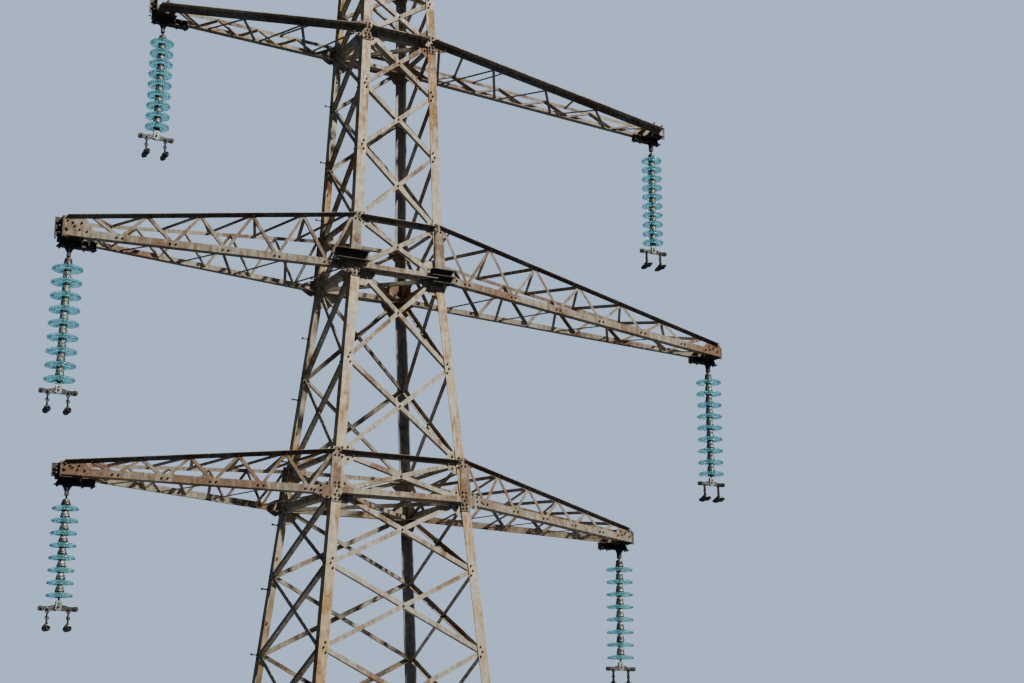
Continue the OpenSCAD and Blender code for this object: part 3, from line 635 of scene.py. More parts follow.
class Gather:
    """Collects stamps at their places and makes one piece of them."""

    def __init__(self, name: str) -> None:
        """Starts an empty piece of the given name."""
        self.name = name
        self.placed: list[tuple[Stamp, Matrix]] = []

    def add(self, stamp: Stamp, *places: Matrix) -> None:
        """Sets the stamp down at each place."""
        self.placed += [(stamp, place) for place in places]

    def make(self, finish: Finish, slot: Slot, body: str = TOWER_BODY,
             smooth: bool = False) -> Object:
        """Joins all that was collected into one object that rides on a body.

        Args:
            finish: The finish of the piece.
            slot: Not used.
            body: The CAD body that the piece moves with.
            smooth: True if its faces are shaded as one curved surface.

        Returns:
            The new object.
        """
        points, faces, start = [], [], 0
        for stamp, place in self.placed:
            grid = np.array(place)
            points.append(stamp.points @ grid[:3, :3].T + grid[:3, 3])
            turned = np.linalg.det(grid[:3, :3]) < 0
            faces += [[start + i for i in (reversed(f) if turned else f)] for f in stamp.faces]
            start += len(stamp.points)
        mesh = bpy.data.meshes.new(self.name)
        mesh.from_pydata(np.vstack(points).tolist(), [], faces)
        mesh.materials.append(finish.material())
        mesh.polygons.foreach_set("use_smooth", [smooth] * len(mesh.polygons))
        mesh.update()
        piece = new_object(self.name, mesh)
        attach(piece, body)
        LOG.info("%s: %d faces on %s", self.name, len(mesh.polygons), body)
        return piece


def box_stamp(low: Sequence[float], high: Sequence[float], bevel: float = 0.0,
              upright: bool = False) -> Stamp:
    """A block between two corners, with its edges or its upright edges broken by a bevel.

    Args:
        low: Corner with the smallest x, y and z.
        high: Corner with the largest x, y and z.
        bevel: Width of the broken edges, or 0 for sharp ones.
        upright: True if only the edges along z are broken.

    Returns:
        The stamp.
    """

    def shape(work: Work) -> None:
        """Makes the block.

        Args:
            work: The empty work mesh.
        """
        size = [h - l for l, h in zip(low, high)]
        middle = [(h + l) / 2 for l, h in zip(low, high)]
        place = Matrix.Translation(middle) @ Matrix.Diagonal((*size, 1))
        bmesh.ops.create_cube(work, size=1, matrix=place)
        edges = [e for e in work.edges if not upright or e.verts[0].co.z != e.verts[1].co.z]
        if bevel:
            bmesh.ops.bevel(work, geom=edges, offset=bevel, affect="EDGES", segments=1,
                            profile=0.5, material=-1)

    return Stamp(shape)


def plate_stamp(wide: float, tall: float, thick: float, corner: float) -> Stamp:
    """A plate in the xy plane with cut corners, lying from z = 0 up."""
    x, y = wide / 2, tall / 2
    return box_stamp((-x, -y, 0.0), (x, y, thick), corner, upright=True)


def angle_stamp(flange: float, thick: float) -> Stamp:
    """An equal angle of unit length along x, with its heel on the x axis.

    Args:
        flange: Width of both flanges.
        thick: Their thickness.

    Returns:
        The stamp.
    """

    def shape(work: Work) -> None:
        """Draws the section and grows it along x.

        Args:
            work: The empty work mesh.
        """
        outline = [(0, 0), (flange, 0), (flange, thick), (thick, thick), (thick, flange),
                   (0, flange)]
        ring = [work.verts.new((0, y, z)) for y, z in outline]
        end = work.faces.new(ring)
        grown = bmesh.ops.extrude_face_region(work, geom=[end])
        moved = [v for v in grown["geom"] if isinstance(v, bmesh.types.BMVert)]
        bmesh.ops.translate(work, verts=moved, vec=(1, 0, 0))

    return Stamp(shape)


def lathe_stamp(profile: Sequence[Pair], steps: int) -> Stamp:
    """A closed outline of radius and height spun round the z axis.

    Args:
        profile: Corners of the outline, in order.
        steps: Steps round the axis.

    Returns:
        The stamp.
    """

    def shape(work: Work) -> None:
        """Draws the outline and spins it.

        Args:
            work: The empty work mesh.
        """
        ring = [work.verts.new((r, 0, z)) for r, z in profile]
        edges = [work.edges.new(pair) for pair in zip(ring, ring[1:] + ring[:1])]
        bmesh.ops.spin(work, geom=[*ring, *edges], cent=(0, 0, 0), axis=(0, 0, 1),
                       angle=2 * math.pi, steps=steps, use_merge=True)
        bmesh.ops.remove_doubles(work, verts=work.verts, dist=1e-6)

    return Stamp(shape)


def ring_stamp(radius: float, wire: float, sides: int, steps: int) -> Stamp:
    """A flat ring of round wire, by the sides of its wire and the steps round it.

    Args:
        radius: From the axis to the middle of the wire.
        wire: Radius of the wire.
        sides: Sides of the wire.
        steps: Steps round the ring.

    Returns:
        The stamp.
    """
    turn = 2 * math.pi / sides
    return lathe_stamp([(radius + wire * math.cos(k * turn), wire * math.sin(k * turn))
                        for k in range(sides)], steps)


def soften(outline: Sequence[Pair], cut: float = 0.22) -> list[Pair]:
    """Cuts the corners of a closed outline once, at a share of each side from its ends.

    Args:
        outline: The corners, in order.
        cut: Share of a side that each of its corners loses.

    Returns:
        The new corners, two for each side.
    """
    made = []
    for (r0, z0), (r1, z1) in zip(outline, [*outline[1:], outline[0]]):
        made += [(r0 * (1 - k) + r1 * k, z0 * (1 - k) + z1 * k) for k in (cut, 1 - cut)]
    return made


def turned_stamp(lengths: Sequence[tuple[int, float, float, float]], taper: float) -> Stamp:
    """Lengths on the z axis, by sides, radius and both ends, tapered to a share at the top.

    Args:
        lengths: Sides, radius, lower end and upper end of each length.
        taper: Radius of an upper end as a share of its lower end.

    Returns:
        The stamp.
    """

    def shape(work: Work) -> None:
        """Makes the lengths.

        Args:
            work: The empty work mesh.
        """
        for sides, radius, low, high in lengths:
            place = Matrix.Translation((0, 0, (low + high) / 2))
            bmesh.ops.create_cone(work, cap_ends=True, segments=sides, radius1=radius,
                                  radius2=radius * taper, depth=high - low, matrix=place)

    return Stamp(shape)


def at(x: float, y: float, z: float = 0.0) -> Matrix:
    """A plain shift."""
    return Matrix.Translation((x, y, z))


def along(a: Vector, b: Vector, up: Vector) -> Matrix:
    """Place of a unit-length stamp that runs from a to b with its z axis near up.

    Args:
        a: Where the stamp starts.
        b: Where it ends.
        up: The side that its z axis is turned to.

    Returns:
        The matrix from the stamp to its place.
    """
    x = (b - a).normalized()
    y = up.cross(x).normalized()
    z = x.cross(y)
    turn = Matrix((x, y, z)).transposed().to_4x4()
    return Matrix.Translation(a) @ turn @ Matrix.Diagonal(((b - a).length, 1, 1, 1))


# washer, nut and end of a bolt, standing on z = 0
BOLT = turned_stamp(((8, 0.0140, 0.0, 0.003), (6, 0.0120, 0.003, 0.014),
                     (6, 0.0070, 0.014, 0.020)), 0.94)
# bar of a step bolt, its nuts on both sides of the leg, and its turned-up head
STEP_BOLT = turned_stamp(((8, 0.009, -0.020, 0.078), (6, 0.017, 0.0, 0.014),
                          (6, 0.017, -0.028, -0.014), (8, 0.017, 0.078, 0.088)), 1.0)
OUTWARDS = Matrix.Rotation(math.pi / 2, 4, "X")
INWARDS = Matrix.Rotation(-math.pi / 2, 4, "X")
UNDER = Matrix.Rotation(math.pi, 4, "X")
UP = Vector((0, 0, 1))


@dataclass
class LegJoints:
    """Bolts, nuts and cover plates on the four sides of the body."""

    edge: float = 0.034
    gauge: float = 0.046
    pitch: float = 0.055
    near_arm: float = 0.05
    # bolts of a joint plate, as shares of its reach and its rise
    plate_bolts: Spots = ((0.62, 0.0), (0.62, 0.5), (0.62, -0.5), (0.86, 0.22), (0.86, -0.22))
    cover_tall: float = 0.46
    cover_thick: float = 0.010
    cover_share: float = 0.86
    cover_corner: float = 0.008
    cover_heights: Row = (5.35, 10.45)
    cover_columns: Row = (-0.027, 0.027)
    cover_rows: int = 6
    cover_pitch: float = 0.072

    def build(self) -> None:
        """Makes one piece of bolts for each side, and the cover plates."""
        for face in Face:
            self.bolts(face)
        self.covers()

    def arm_levels(self) -> list[float]:
        """Heights at which root plates cover the legs of the front and the back."""
        return [TOWER.low_arm, TOWER.low_arm + TOWER.low_depth, TOWER.mid_arm,
                TOWER.mid_arm + TOWER.mid_depth, TOWER.top_arm]

    def bolts(self, face: Face) -> None:
        """Bolts at the panel points, the crossings and the joint plates of one side.

        Args:
            face: The side of the tower.
        """
        piece = Gather(f"bolts_{face.name.lower()}")
        for levels, start in ((TOWER.low_levels, 0.0), (TOWER.high_levels, TOWER.mid_arm)):
            base = TOWER.side(face, start)
            for z, upper in zip(levels, [*levels[1:], None]):
                self.leg_bolts(piece, base, z, TOWER.up_side(z, start), face)
                if upper:
                    piece.add(BOLT, base @ at(0, self.crossing(z, upper, start),
                                              -TOWER.leg_thick))
        for z, wide, tall, start in self.plates():
            base, half, y = TOWER.side(face, start), TOWER.half(z), TOWER.up_side(z, start)
            for sign in (-1, 1):
                for depth, rise in self.plate_bolts:
                    piece.add(BOLT, base @ at(sign * (half - depth * wide), y + rise * tall,
                                              -TOWER.leg_thick))
        piece.make(BOLT_STEEL, Slot.DARK)

    def leg_bolts(self, piece: Gather, base: Matrix, z: float, y: float, face: Face) -> None:
        """Three bolts in each leg flange where the braces of a panel point meet.

        Args:
            piece: Where the bolts are collected.
            base: The side's drawing frame.
            z: Height of the panel point.
            y: Its distance up the drawing frame.
            face: The side of the tower.
        """
        near = min(abs(z - level) for level in self.arm_levels()) < self.near_arm
        covered = near and face in (Face.FRONT, Face.BACK)
        lift = TOWER.plate_thick if covered else 0.0
        for sign in (-1, 1):
            for row in (-1, 0, 1):
                x = TOWER.half(z) - self.edge - (self.gauge if row else self.gauge / 2)
                piece.add(BOLT, base @ at(sign * x, y + row * self.pitch, lift))

    def crossing(self, low: float, high: float, start: float) -> float:
        """Distance up the side at which the two braces of a panel cross."""
        a, b = TOWER.brace_ends(low, high)
        return TOWER.up_side(low + (high - low) * a / (a + b), start)

    def plates(self) -> list[tuple[float, float, float, float]]:
        """Height, reach, rise and starting height of each pair of joint plates.

        Returns:
            One row for each pair of plates.
        """
        wide, tall, waist = TOWER.plate_reach, TOWER.plate_rise, TOWER.mid_arm
        return [
            (TOWER.low_levels[5], 0.8 * wide, 0.75 * tall, 0.0),
            (TOWER.low_arm, wide, tall, 0.0),
            (TOWER.low_arm + TOWER.low_depth, wide, 0.75 * tall, 0.0),
            (waist - 0.02, 1.2 * wide, 1.25 * tall, 0.0),
            (waist + TOWER.mid_depth, 0.8 * wide, 0.65 * tall, waist),
            (TOWER.top_arm, 0.9 * wide, tall, waist),
        ]

    def covers(self) -> None:
        """Cover plates over the splices of the legs' lower lengths, with their bolts."""
        steel = Gather("leg_cover_plates")
        bolts = Gather("leg_cover_bolts")
        plate = plate_stamp(TOWER.leg_flange * self.cover_share, self.cover_tall,
                            self.cover_thick, self.cover_corner)
        for face in Face:
            base = TOWER.side(face, 0.0)
            for z in self.cover_heights:
                y = TOWER.up_side(z, 0.0)
                for sign in (-1, 1):
                    x = sign * (TOWER.half(z) - TOWER.leg_flange / 2)
                    tilt = Matrix.Rotation(sign * math.atan(TOWER.slope(z)), 4, "Z")
                    here = base @ at(x, y) @ tilt
                    steel.add(plate, here)
                    for column in self.cover_columns:
                        for row in range(self.cover_rows):
                            rise = (row - (self.cover_rows - 1) / 2) * self.cover_pitch
                            bolts.add(BOLT, here @ at(column, rise, self.cover_thick))
        steel.make(LEG_STEEL, Slot.LEG)
        bolts.make(BOLT_STEEL, Slot.DARK)


@dataclass
class StepBolts:
    """Climbing bolts up one leg, turned from one flange to the other."""

    start: float = 2.6
    end: float = 20.9
    pitch: float = 0.38
    inset: float = 0.060

    def build(self) -> None:
        """Makes the row of step bolts on the back left leg."""
        piece = Gather("step_bolts")
        count = int((self.end - self.start) / self.pitch)
        for k in range(count + 1):
            z = self.start + k * self.pitch
            start = 0.0 if z < TOWER.mid_arm else TOWER.mid_arm
            y = TOWER.up_side(z, start)
            face, sign = (Face.BACK, 1) if k % 2 else (Face.LEFT, -1)
            base = TOWER.side(face, start)
            piece.add(STEP_BOLT, base @ at(sign * (TOWER.half(z) - self.inset), y))
        piece.make(BOLT_STEEL, Slot.DARK)


@dataclass
class FinerBracing:
    """Short struts that hold the long braces of the lower panels at their quarter points."""

    flange: float = 0.045
    thick: float = 0.004
    sunk: float = 0.0065
    leg_inset: float = 0.050
    panels: int = 6
    shares: Row = (0.25, 0.75)

    def build(self) -> None:
        """Makes one piece of struts for each side."""
        stamp = angle_stamp(self.flange, self.thick)
        slant = math.hypot(1, TOWER.slope(0.0))
        levels = TOWER.low_levels
        depth = -TOWER.leg_thick - TOWER.seat - self.sunk
        for face in Face:
            piece = Gather(f"finer_bracing_{face.name.lower()}")
            base = TOWER.side(face, 0.0)
            inwards = (base.to_3x3() @ -UP).normalized()
            for low, high in zip(levels[: self.panels], levels[1:]):
                for share in self.shares:
                    z = low + (high - low) * share
                    leg = TOWER.half(z) - self.leg_inset
                    mid = self.brace_x(low, high, share)
                    for sign in (-1, 1):
                        a = base @ Vector((sign * leg, z * slant, depth))
                        b = base @ Vector((sign * mid, z * slant, depth))
                        piece.add(stamp, along(a, b, inwards))
            piece.make(BRACE_STEEL, Slot.LATTICE)

    def brace_x(self, low: float, high: float, share: float) -> float:
        """Distance from the middle of the side to a brace at a share of the panel."""
        a, b = TOWER.brace_ends(low, high)
        return abs(a - (a + b) * share)


@dataclass
class ArmDress:
    """Bolts and upper plan lacing of one cross arm."""

    arm: Arm
    root_columns: Row = (-0.036, -0.084)
    low_rows: Row = (-0.095, -0.045, 0.045, 0.095)
    high_rows: Row = (-0.035, 0.035)
    gusset_bolts: Spots = (
        (0.05, -0.07), (0.05, 0.08), (0.12, 0.0), (0.12, -0.055), (0.12, 0.055), (0.19, 0.0))
    # distance past the hanger pin, and share of the tip plate's height
    tip_bolts: Spots = ((-0.15, 0.15), (-0.09, 0.68), (0.06, 0.15), (0.06, 0.78), (-0.02, 0.45))
    bar_shifts: Row = (-0.032, 0.032)
    bar_sunk: float = 0.004
    deep: float = 0.2
    lace_flange: float = 0.036
    lace_thick: float = 0.004
    lace_sunk: float = 0.012
    lace_depth: float = -0.001
    lace_start: float = 0.09
    lace_rise: float = 0.05

    def build(self) -> None:
        """Makes the arm's added pieces."""
        self.bolts()
        if not self.arm.single:
            self.top_lacing()

    def bolts(self) -> None:
        """Bolts in the root plates, at the bars' ends and in the tip plates."""
        arm = self.arm
        piece = Gather(f"{arm.name}_bolts")
        chord = TOWER.seat + TOWER.chord_thick
        light = TOWER.seat + TOWER.light_thick
        for far in (False, True):
            truss, root = arm.truss(far), arm.root(far)
            piece.add(BOLT, *(root @ at(x, y, chord)
                              for x in self.root_columns for y in self.low_rows))
            piece.add(BOLT, *(truss @ at(x, y, chord) for x, y in self.gusset_bolts))
            if arm.single and not far:
                continue
            if arm.depth > self.deep:
                piece.add(BOLT, *(root @ at(x, arm.depth + y, chord)
                                  for x in self.root_columns for y in self.high_rows))
            for k in range(arm.panels):
                b, c = arm.low((k + 0.5) / arm.panels), arm.top((k + 1) / arm.panels)
                piece.add(BOLT, *(truss @ at(b.x + shift, b.y, chord) for shift in self.bar_shifts))
                piece.add(BOLT, truss @ at(c.x, c.y - self.bar_sunk, light))
            piece.add(BOLT, *(truss @ at(arm.run + x, y * arm.tip - arm.drop, chord)
                              for x, y in self.tip_bolts))
        piece.make(BOLT_STEEL, Slot.DARK)

    def top_lacing(self) -> None:
        """Light angles from the near top chord to the far one."""
        arm = self.arm
        piece = Gather(f"{arm.name}_top_lacing")
        stamp = angle_stamp(self.lace_flange, self.lace_thick)
        near, far = arm.truss(False), arm.truss(True)
        inset = Vector((0, -self.lace_sunk, self.lace_depth))
        for k in range(arm.panels):
            spots = [arm.top((k + step) / arm.panels) for step in (0.0, 0.5, 1.0)]
            if k == 0:
                # the first bar starts beyond the root plate
                spots[0] = Vector((self.lace_start, arm.top(self.lace_rise).y, 0))
            a, b, c = (m @ (spot + inset) for m, spot in zip((near, far, near), spots))
            piece.add(stamp, along(a, b, UP), along(b, c, UP))
        piece.make(ARM_STEEL, Slot.LATTICE)


@dataclass
class TipDress:
    """Cleats, stiffeners, cross bars and nuts round the tip of one cross arm."""

    arm: Arm
    floor_drop: float = 0.060
    shelf_rise: float = 0.041
    thick: float = 0.006
    cleat_flange: float = 0.060
    cleat_back: float = 0.010
    cleat_in: float = 0.065
    cleat_ends: Pair = (0.004, 0.008)
    cleat_nuts: int = 3
    nut_low: float = 0.040
    nut_room: float = 0.020
    nut_back: float = 0.004
    nut_in: float = 0.030
    # inner and outer corner of a stiffener, and how far it is let into both plates
    web: Pair = (-0.004, 0.0099)
    edge: Pair = (0.004, 0.0435)
    let_in: float = 0.0001
    stiffeners: Row = (-0.285, -0.205, -0.125, 0.075)
    shelf_nuts: Row = (-0.265, -0.165, 0.105)
    shelf_side: float = 0.028
    shelf_thick: float = 0.008
    floor_nuts: Row = (-0.085, 0.075)
    floor_in: float = 0.032
    bar_flange: float = 0.050
    bar_nut: float = 0.022
    bars: Spots = ((-0.095, 0.25), (-0.020, 0.65), (0.050, 0.25))

    def build(self) -> None:
        """Makes a piece of the tip's added steel and a piece of its nuts."""
        arm = self.arm
        piece = Gather(f"{arm.name}_tip_cleats")
        nuts = Gather(f"{arm.name}_tip_bolts")
        low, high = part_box(f"{arm.name}_tip")
        outer = abs(high.x if arm.sign > 0 else low.x)
        wide = high.y
        floor = high.z - arm.tip - self.floor_drop
        shelf = arm.pin.z + self.shelf_rise
        mirror = Matrix.Diagonal((arm.sign, 1, 1, 1))
        cleat = angle_stamp(self.cleat_flange, self.thick)
        stiffener = box_stamp((*self.web, shelf - self.let_in), (*self.edge, floor + self.let_in))
        across = Matrix.Rotation(math.pi / 2, 4, "Y")
        for sign in (-1, 1):
            flip = Matrix.Diagonal((1, sign, 1, 1))
            a, b = (Vector((outer - self.cleat_back, sign * (wide - self.cleat_in), z))
                    for z in (floor + self.cleat_ends[0], high.z - self.cleat_ends[1]))
            piece.add(cleat, mirror @ along(a, b, Vector((0, -sign, 0))))
            for row in range(self.cleat_nuts):
                z = floor + self.nut_low + row * (arm.tip - self.nut_room) / 2
                nuts.add(BOLT, mirror @ at(outer - self.nut_back, sign * (wide - self.nut_in), z)
                         @ across)
            piece.add(stiffener, *(mirror @ flip @ at(arm.reach + x, 0) for x in self.stiffeners))
            for spots, y, z in ((self.shelf_nuts, self.shelf_side, shelf - self.shelf_thick),
                                (self.floor_nuts, wide - self.floor_in, floor)):
                nuts.add(BOLT, *(mirror @ at(arm.reach + x, sign * y, z) @ UNDER for x in spots))
        self.crossbars(piece, nuts)
        piece.make(TIP_STEEL, Slot.DARK)
        nuts.make(BOLT_STEEL, Slot.DARK)

    def crossbars(self, piece: Gather, nuts: Gather) -> None:
        """Angles across the tip, between the near and the far tip plates.

        Args:
            piece: Where the angles are collected.
            nuts: Where their nuts are collected.
        """
        arm = self.arm
        bar = angle_stamp(self.bar_flange, self.thick)
        near, far = arm.truss(False), arm.truss(True)
        for x, y in self.bars:
            spot = Vector((arm.run + x, y * arm.tip - arm.drop, 0.0))
            ends = (near @ spot, far @ spot)[::arm.sign]
            piece.add(bar, along(*ends, UP))
            nuts.add(BOLT, near @ at(spot.x + self.bar_nut, spot.y,
                                     TOWER.seat + TOWER.chord_thick))


@dataclass
class CornerBrackets:
    """Stacks of short outstanding plates over the middle arms' near chords."""

    stand: float = 0.085
    shelf_half: float = 0.004
    web_thick: float = 0.007
    bevel: float = 0.001
    rows: tuple[Row, Row] = ((0.050, 0.165), (-0.085, 0.000, 0.080))
    spans: tuple[Pair, Pair] = ((-0.20, 0.22), (-0.18, 0.12))

    def build(self) -> None:
        """Makes the bracket at both near legs."""
        piece = Gather("mid_corner_brackets")
        lift = TOWER.seat + TOWER.chord_thick + TOWER.seat
        middle = [arm for arm in ARMS if arm.level == TOWER.mid_arm]
        for arm, rows, (low, high) in zip(middle, self.rows, self.spans):
            shelf = box_stamp((low, -self.shelf_half, 0.0), (high, self.shelf_half, self.stand),
                              self.bevel)
            web = box_stamp((low, rows[0], 0.0), (high, rows[-1], self.web_thick), self.bevel)
            base = arm.root() @ at(0, 0, lift)
            piece.add(web, base)
            piece.add(shelf, *(base @ at(0, y) for y in rows))
        piece.make(TIP_STEEL, Slot.DARK)


@dataclass
class StringDress:
    """Glass discs, caps, split pins, links and clamp bolts of one insulator string."""

    arm: Arm
    first_disc: float = 0.185
    bore: float = 0.0116
    collar: float = 0.052
    # outline of the glass round its collar: share of its radius, and height
    waves: Spots = (
        (0.66, -0.007), (0.92, -0.016), (1.0, -0.030), (0.995, -0.046), (0.94, -0.047),
        (0.86, -0.033), (0.82, -0.050), (0.78, -0.050), (0.74, -0.032), (0.65, -0.028),
        (0.62, -0.052), (0.58, -0.052), (0.54, -0.028), (0.45, -0.024), (0.41, -0.046),
        (0.38, -0.046), (0.35, -0.022))
    cap_room: float = 0.074
    # outline of a cap's shell: radius, share of the cap's height, and rise over that
    shell: tuple[tuple[float, float, float], ...] = (
        (0.0200, 1, 0.0120), (0.0330, 1, 0.0100), (0.0400, 1, -0.0040), (0.0440, 1, -0.0130),
        (0.0465, 0.5, 0.0), (0.0490, 0, 0.0300), (0.0440, 0, 0.0240), (0.0300, 1, -0.0120))
    skirt: Spots = ((0.0300, -0.0240), (0.0450, -0.0260), (0.0450, -0.0400), (0.0400, -0.0560),
                    (0.0300, -0.0580))
    rim_rise: float = 0.0160
    neck_drop: float = 0.0110
    split_drop: float = 0.0060
    split_turn: float = 0.7
    split_step: float = 1.9
    yoke_half: float = 0.210
    yoke_face: float = 0.0085
    yoke_low: float = 0.044
    yoke_drop: float = 0.150
    lug_thick: float = 0.012
    lug_in: float = 0.032
    lug_drop: float = 0.020
    cheek_thick: float = 0.010
    cheek_rise: float = 0.012
    cheek_pin: float = 0.008
    clamp_half: float = 0.110
    clamp_bolt: float = 0.022
    clamp_drop: float = 0.180
    links: int = 4
    link_low: float = 0.006
    link_pitch: float = 0.033
    hoops: Row = (-0.060, 0.060)
    keeper_rise: float = 0.026
    keeper_top: float = 0.038
    keeper_bolts: Row = (-0.028, 0.028)

    @property
    def body(self) -> str:
        """The body that the string's pieces move with."""
        return f"{self.arm.name}_insulator"

    def disc(self, k: int, z: float = 0.0) -> Matrix:
        """Place of a disc on the string's axis, or z over it."""
        drop = -self.first_disc - k * self.arm.disc_pitch
        return Matrix.Translation(self.arm.pin + Vector((0, 0, drop + z)))

    def build(self) -> None:
        """Makes the string's added pieces."""
        discs = [self.disc(k) for k in range(self.arm.discs)]
        self.glass(discs)
        self.caps(discs)
        self.yoke()

    def glass(self, discs: list[Matrix]) -> None:
        """The discs, each spun from a softened outline, in place of the plain ones.

        Args:
            discs: Place of each disc.
        """
        waves = [(share * self.arm.disc_radius, z) for share, z in self.waves]
        outline = [(self.bore, 0.0), (self.collar, 0.0), *waves, (self.bore, waves[-1][1])]
        piece = Gather(f"{self.arm.name}_discs")
        piece.add(lathe_stamp(soften(outline), 36), *discs)
        made = piece.make(GLASS, Slot.GLASS, self.body, smooth=True)
        # clear glass lets the sun through to the caps under it
        made.visible_shadow = False
        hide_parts(f"{self.arm.name}_discs_glass")

    def caps(self, discs: list[Matrix]) -> None:
        """Shells, skirts, rolled rims and split pins of the caps.

        Args:
            discs: Place of each disc.
        """
        piece = Gather(f"{self.arm.name}_caps")
        cap = self.arm.disc_pitch - self.cap_room
        rim = ring_stamp(0.0500, 0.0045, 8, 20)
        neck = ring_stamp(0.0350, 0.0040, 6, 16)
        split = box_stamp((-0.046, -0.003, -0.002), (0.046, 0.003, 0.002))
        shell = lathe_stamp([(r, share * cap + z) for r, share, z in self.shell], 18)
        skirt = lathe_stamp(self.skirt, 18)
        for k, base in enumerate(discs):
            piece.add(rim, base @ at(0, 0, self.rim_rise))
            piece.add(shell, base)
            piece.add(skirt, base)
            piece.add(neck, base @ at(0, 0, cap - self.neck_drop))
            turn = Matrix.Rotation(self.split_turn + self.split_step * k, 4, "Z")
            piece.add(split, base @ at(0, 0, cap - self.split_drop) @ turn)
        piece.make(FITTING_STEEL, Slot.FITTING, self.body)

    def yoke(self) -> None:
        """Lugs, bolts and links of the yoke, its pale clevis and the clamps' keepers."""
        piece = Gather(f"{self.arm.name}_yoke_links")
        pale = Gather(f"{self.arm.name}_yoke_clevis")
        base = self.disc(self.arm.discs - 1, -self.yoke_drop)
        cheek = plate_stamp(0.066, 0.110, self.cheek_thick, 0.014)
        lug = plate_stamp(0.060, 0.052, self.lug_thick, 0.010)
        shackle = ring_stamp(0.0190, 0.0060, 8, 14)
        hoop = ring_stamp(0.0300, 0.0055, 8, 18)
        keeper = box_stamp((-0.024, -0.040, 0.0), (0.024, 0.040, 0.014), 0.003)

        def both(kept: Gather, stamp: Stamp, x: float, z: float, out: float = 0.0) -> None:
            """Sets a stamp down on both faces of the yoke, or out from them."""
            y = self.yoke_face + out
            kept.add(stamp, base @ at(x, -y, z) @ OUTWARDS, base @ at(x, y, z) @ INWARDS)

        for sign in (-1, 1):
            end, clamp = sign * (self.yoke_half - self.lug_in), sign * self.clamp_half
            both(piece, lug, end, -self.lug_drop)
            both(piece, BOLT, end, -self.lug_drop, self.lug_thick)
            both(piece, BOLT, clamp, -self.clamp_bolt)
            hang, low = base @ at(clamp, 0, -self.yoke_low), -self.clamp_drop
            for k in range(self.links):
                turn = Matrix.Rotation(math.pi / 2 * (k % 2), 4, "Z") @ OUTWARDS
                piece.add(shackle, hang @ at(0, 0, -self.link_low - self.link_pitch * k) @ turn)
            piece.add(hoop, *(hang @ at(0, y, low) @ OUTWARDS for y in self.hoops))
            piece.add(keeper, hang @ at(0, 0, low + self.keeper_rise))
            piece.add(BOLT, *(hang @ at(0, y, low + self.keeper_top) for y in self.keeper_bolts))
        both(pale, cheek, 0, self.cheek_rise)
        both(pale, BOLT, 0, self.cheek_pin, self.cheek_thick)
        pale.make(CLEVIS_STEEL, Slot.FITTING, self.body)
        piece.make(FITTING_STEEL, Slot.FITTING, self.body)


@dataclass
class Peak:
    """Bolts of the earth wire peak."""

    inset: float = 0.035
    shares: Row = (0.035, 0.5, 0.88)
    rows: Row = (-0.02, 0.02)

    def build(self) -> None:
        """Makes the bolts where the peak stands on the cage and in its cap."""
        piece = Gather("peak_bolts")
        start = TOWER.cage_top
        for face in Face:
            base = TOWER.side(face, start)
            for share in self.shares:
                z = start + (TOWER.peak_top - start) * share
                x, y = TOWER.half(z) - self.inset, TOWER.up_side(z, start)
                piece.add(BOLT, *(base @ at(sign * x, y + row)
                                  for sign in (-1, 1) for row in self.rows))
        piece.make(BOLT_STEEL, Slot.DARK)


def heading(turn: float, rise: float) -> Vector:
    """Unit vector turned from +Y towards +X and raised over the ground, both in degrees.

    Args:
        turn: Angle from +Y towards +X.
        rise: Angle over the ground.

    Returns:
        The unit vector.
    """
    turn, rise = math.radians(turn), math.radians(rise)
    return Vector((math.sin(turn) * math.cos(rise), math.cos(turn) * math.cos(rise),
                   math.sin(rise)))


@dataclass(frozen=True)
class Lamp:
    """A soft sun: where it shines from, in degrees from the front and over the ground."""

    name: str
    azimuth: float
    height: float
    power: float
    width: float
    colour: Colour = (1.0, 0.96, 0.88)

    def build(self) -> Object:
        """Makes the lamp.

        Returns:
            The lamp.
        """
        data = bpy.data.lights.new(self.name, "SUN")
        data.energy = self.power
        data.angle = math.radians(self.width)
        data.color = self.colour
        away = heading(self.azimuth, self.height)
        away.y = -away.y
        lamp = new_object(self.name, data)
        lamp.matrix_world = away.to_track_quat("Z", "Y").to_matrix().to_4x4()
        return lamp


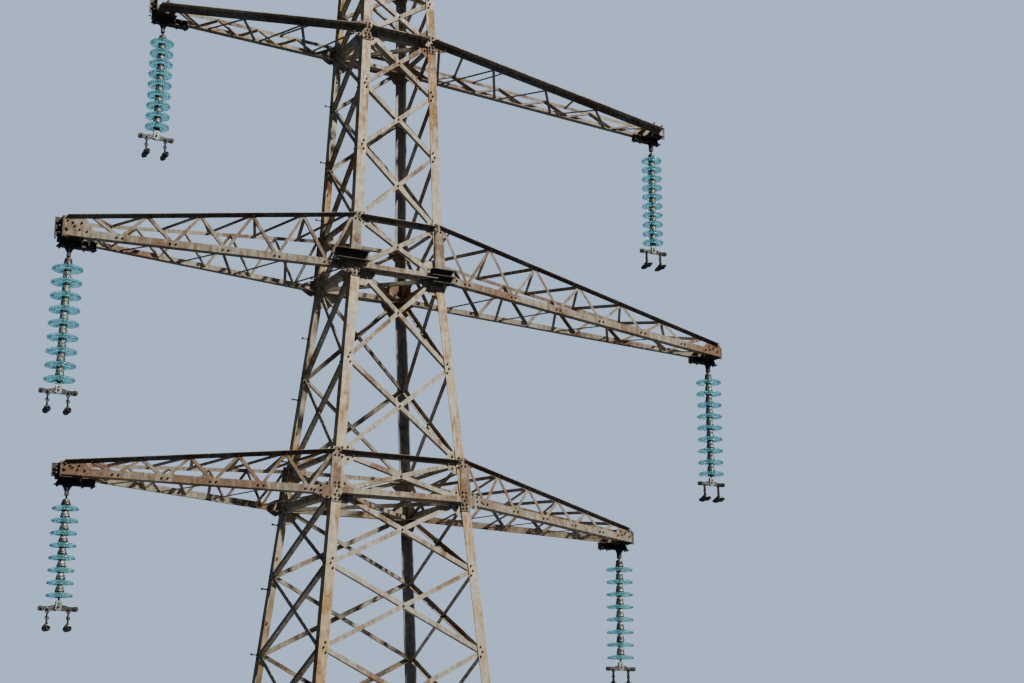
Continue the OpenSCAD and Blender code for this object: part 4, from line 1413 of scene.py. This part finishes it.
@dataclass
class Studio:
    """Pale floor, soft lights and the camera at the photograph's viewing angle."""

    eye: tuple[float, float, float] = (-7.06, -16.70, 12.38)
    yaw: float = 28.11
    pitch: float = 14.25
    roll: float = 0.14
    focal_pixels: float = 1534.0
    width_pixels: float = 1024.0
    sensor: float = 36.0
    farthest: float = 500.0
    floor_radius: float = 7.5
    floor_sides: int = 96
    floor_drop: float = 0.001
    floor_colour: Colour = (0.62, 0.62, 0.62)
    floor_rough: float = 0.95
    sky_seen: Colour = (0.46, 0.62, 0.86)
    sky_light: float = 0.12
    sun: Lamp = Lamp("sun", 32.0, 46.0, 5.6, 2.5)
    rear_fill: Lamp = Lamp("rear_fill", 152.0, 24.0, 2.4, 24.0)

    def build(self) -> None:
        """Makes the camera, the floor, both lamps and the world."""
        self.camera()
        self.floor()
        self.sun.build()
        # the second lamp shines towards the camera, so it lights only the sides that face away
        fill = self.rear_fill.build()
        fill.visible_transmission = False
        fill.visible_glossy = False
        self.world()

    def camera(self) -> None:
        """The camera of the photograph."""
        data = bpy.data.cameras.new("camera")
        data.sensor_width = self.sensor
        data.lens = self.focal_pixels / self.width_pixels * self.sensor
        data.clip_end = self.farthest
        camera = new_object("camera", data)
        turn = heading(self.yaw, self.pitch).to_track_quat("-Z", "Y").to_matrix().to_4x4()
        turn = turn @ Matrix.Rotation(math.radians(self.roll), 4, "Z")
        camera.matrix_world = Matrix.Translation(self.eye) @ turn
        bpy.context.scene.camera = camera

    def floor(self) -> None:
        """A plain pale round floor at ground level."""
        work = bmesh.new()
        bmesh.ops.create_circle(work, cap_ends=True, segments=self.floor_sides,
                                radius=self.floor_radius)
        mesh = bpy.data.meshes.new("floor")
        work.to_mesh(mesh)
        work.free()
        material = bpy.data.materials.new("floor_pale")
        material.use_nodes = True
        shader = material.node_tree.nodes["Principled BSDF"]
        shader.inputs["Base Color"].default_value = (*self.floor_colour, 1)
        shader.inputs["Roughness"].default_value = self.floor_rough
        mesh.materials.append(material)
        floor = new_object("floor", mesh)
        floor.location.z = -self.floor_drop

    def world(self) -> None:
        """A pale backdrop that lights the steel less than it shows."""
        world = bpy.data.worlds.new("studio")
        world.use_nodes = True
        sheet = NodeSheet(world.node_tree)
        shown = world.node_tree.nodes["Background"]
        shown.inputs["Color"].default_value = (*self.sky_seen, 1)
        rays = sheet.add("LightPath").outputs
        # the backdrop also keeps its full brightness where it is seen through glass
        seen = sheet.math("MAXIMUM", rays["Is Camera Ray"], rays["Is Transmission Ray"])
        power = sheet.add("MapRange", value=seen, to_min=self.sky_light, to_max=1.0)
        sheet.feed(shown.inputs["Strength"], power.outputs["Result"])
        bpy.context.scene.world = world


def dress_nodes() -> None:
    """Gives each CAD node the finish that goes with its name."""
    for name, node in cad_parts.items():
        finish = next(finish for start, end, finish in NODE_FINISHES
                      if name.startswith(start) and name.endswith(end))
        node.data.materials.clear()
        node.data.materials.append(finish.material())
        LOG.info("%s: %s", name, finish.name)


def main() -> None:
    """Builds the studio, the finishes and every added piece in order."""
    logging.basicConfig(level=logging.INFO)
    Studio().build()
    dress_nodes()
    LegJoints().build()
    StepBolts().build()
    FinerBracing().build()
    CornerBrackets().build()
    Peak().build()
    for arm in ARMS:
        ArmDress(arm).build()
        TipDress(arm).build()
        StringDress(arm).build()


if __name__ == "__main__":
    main()
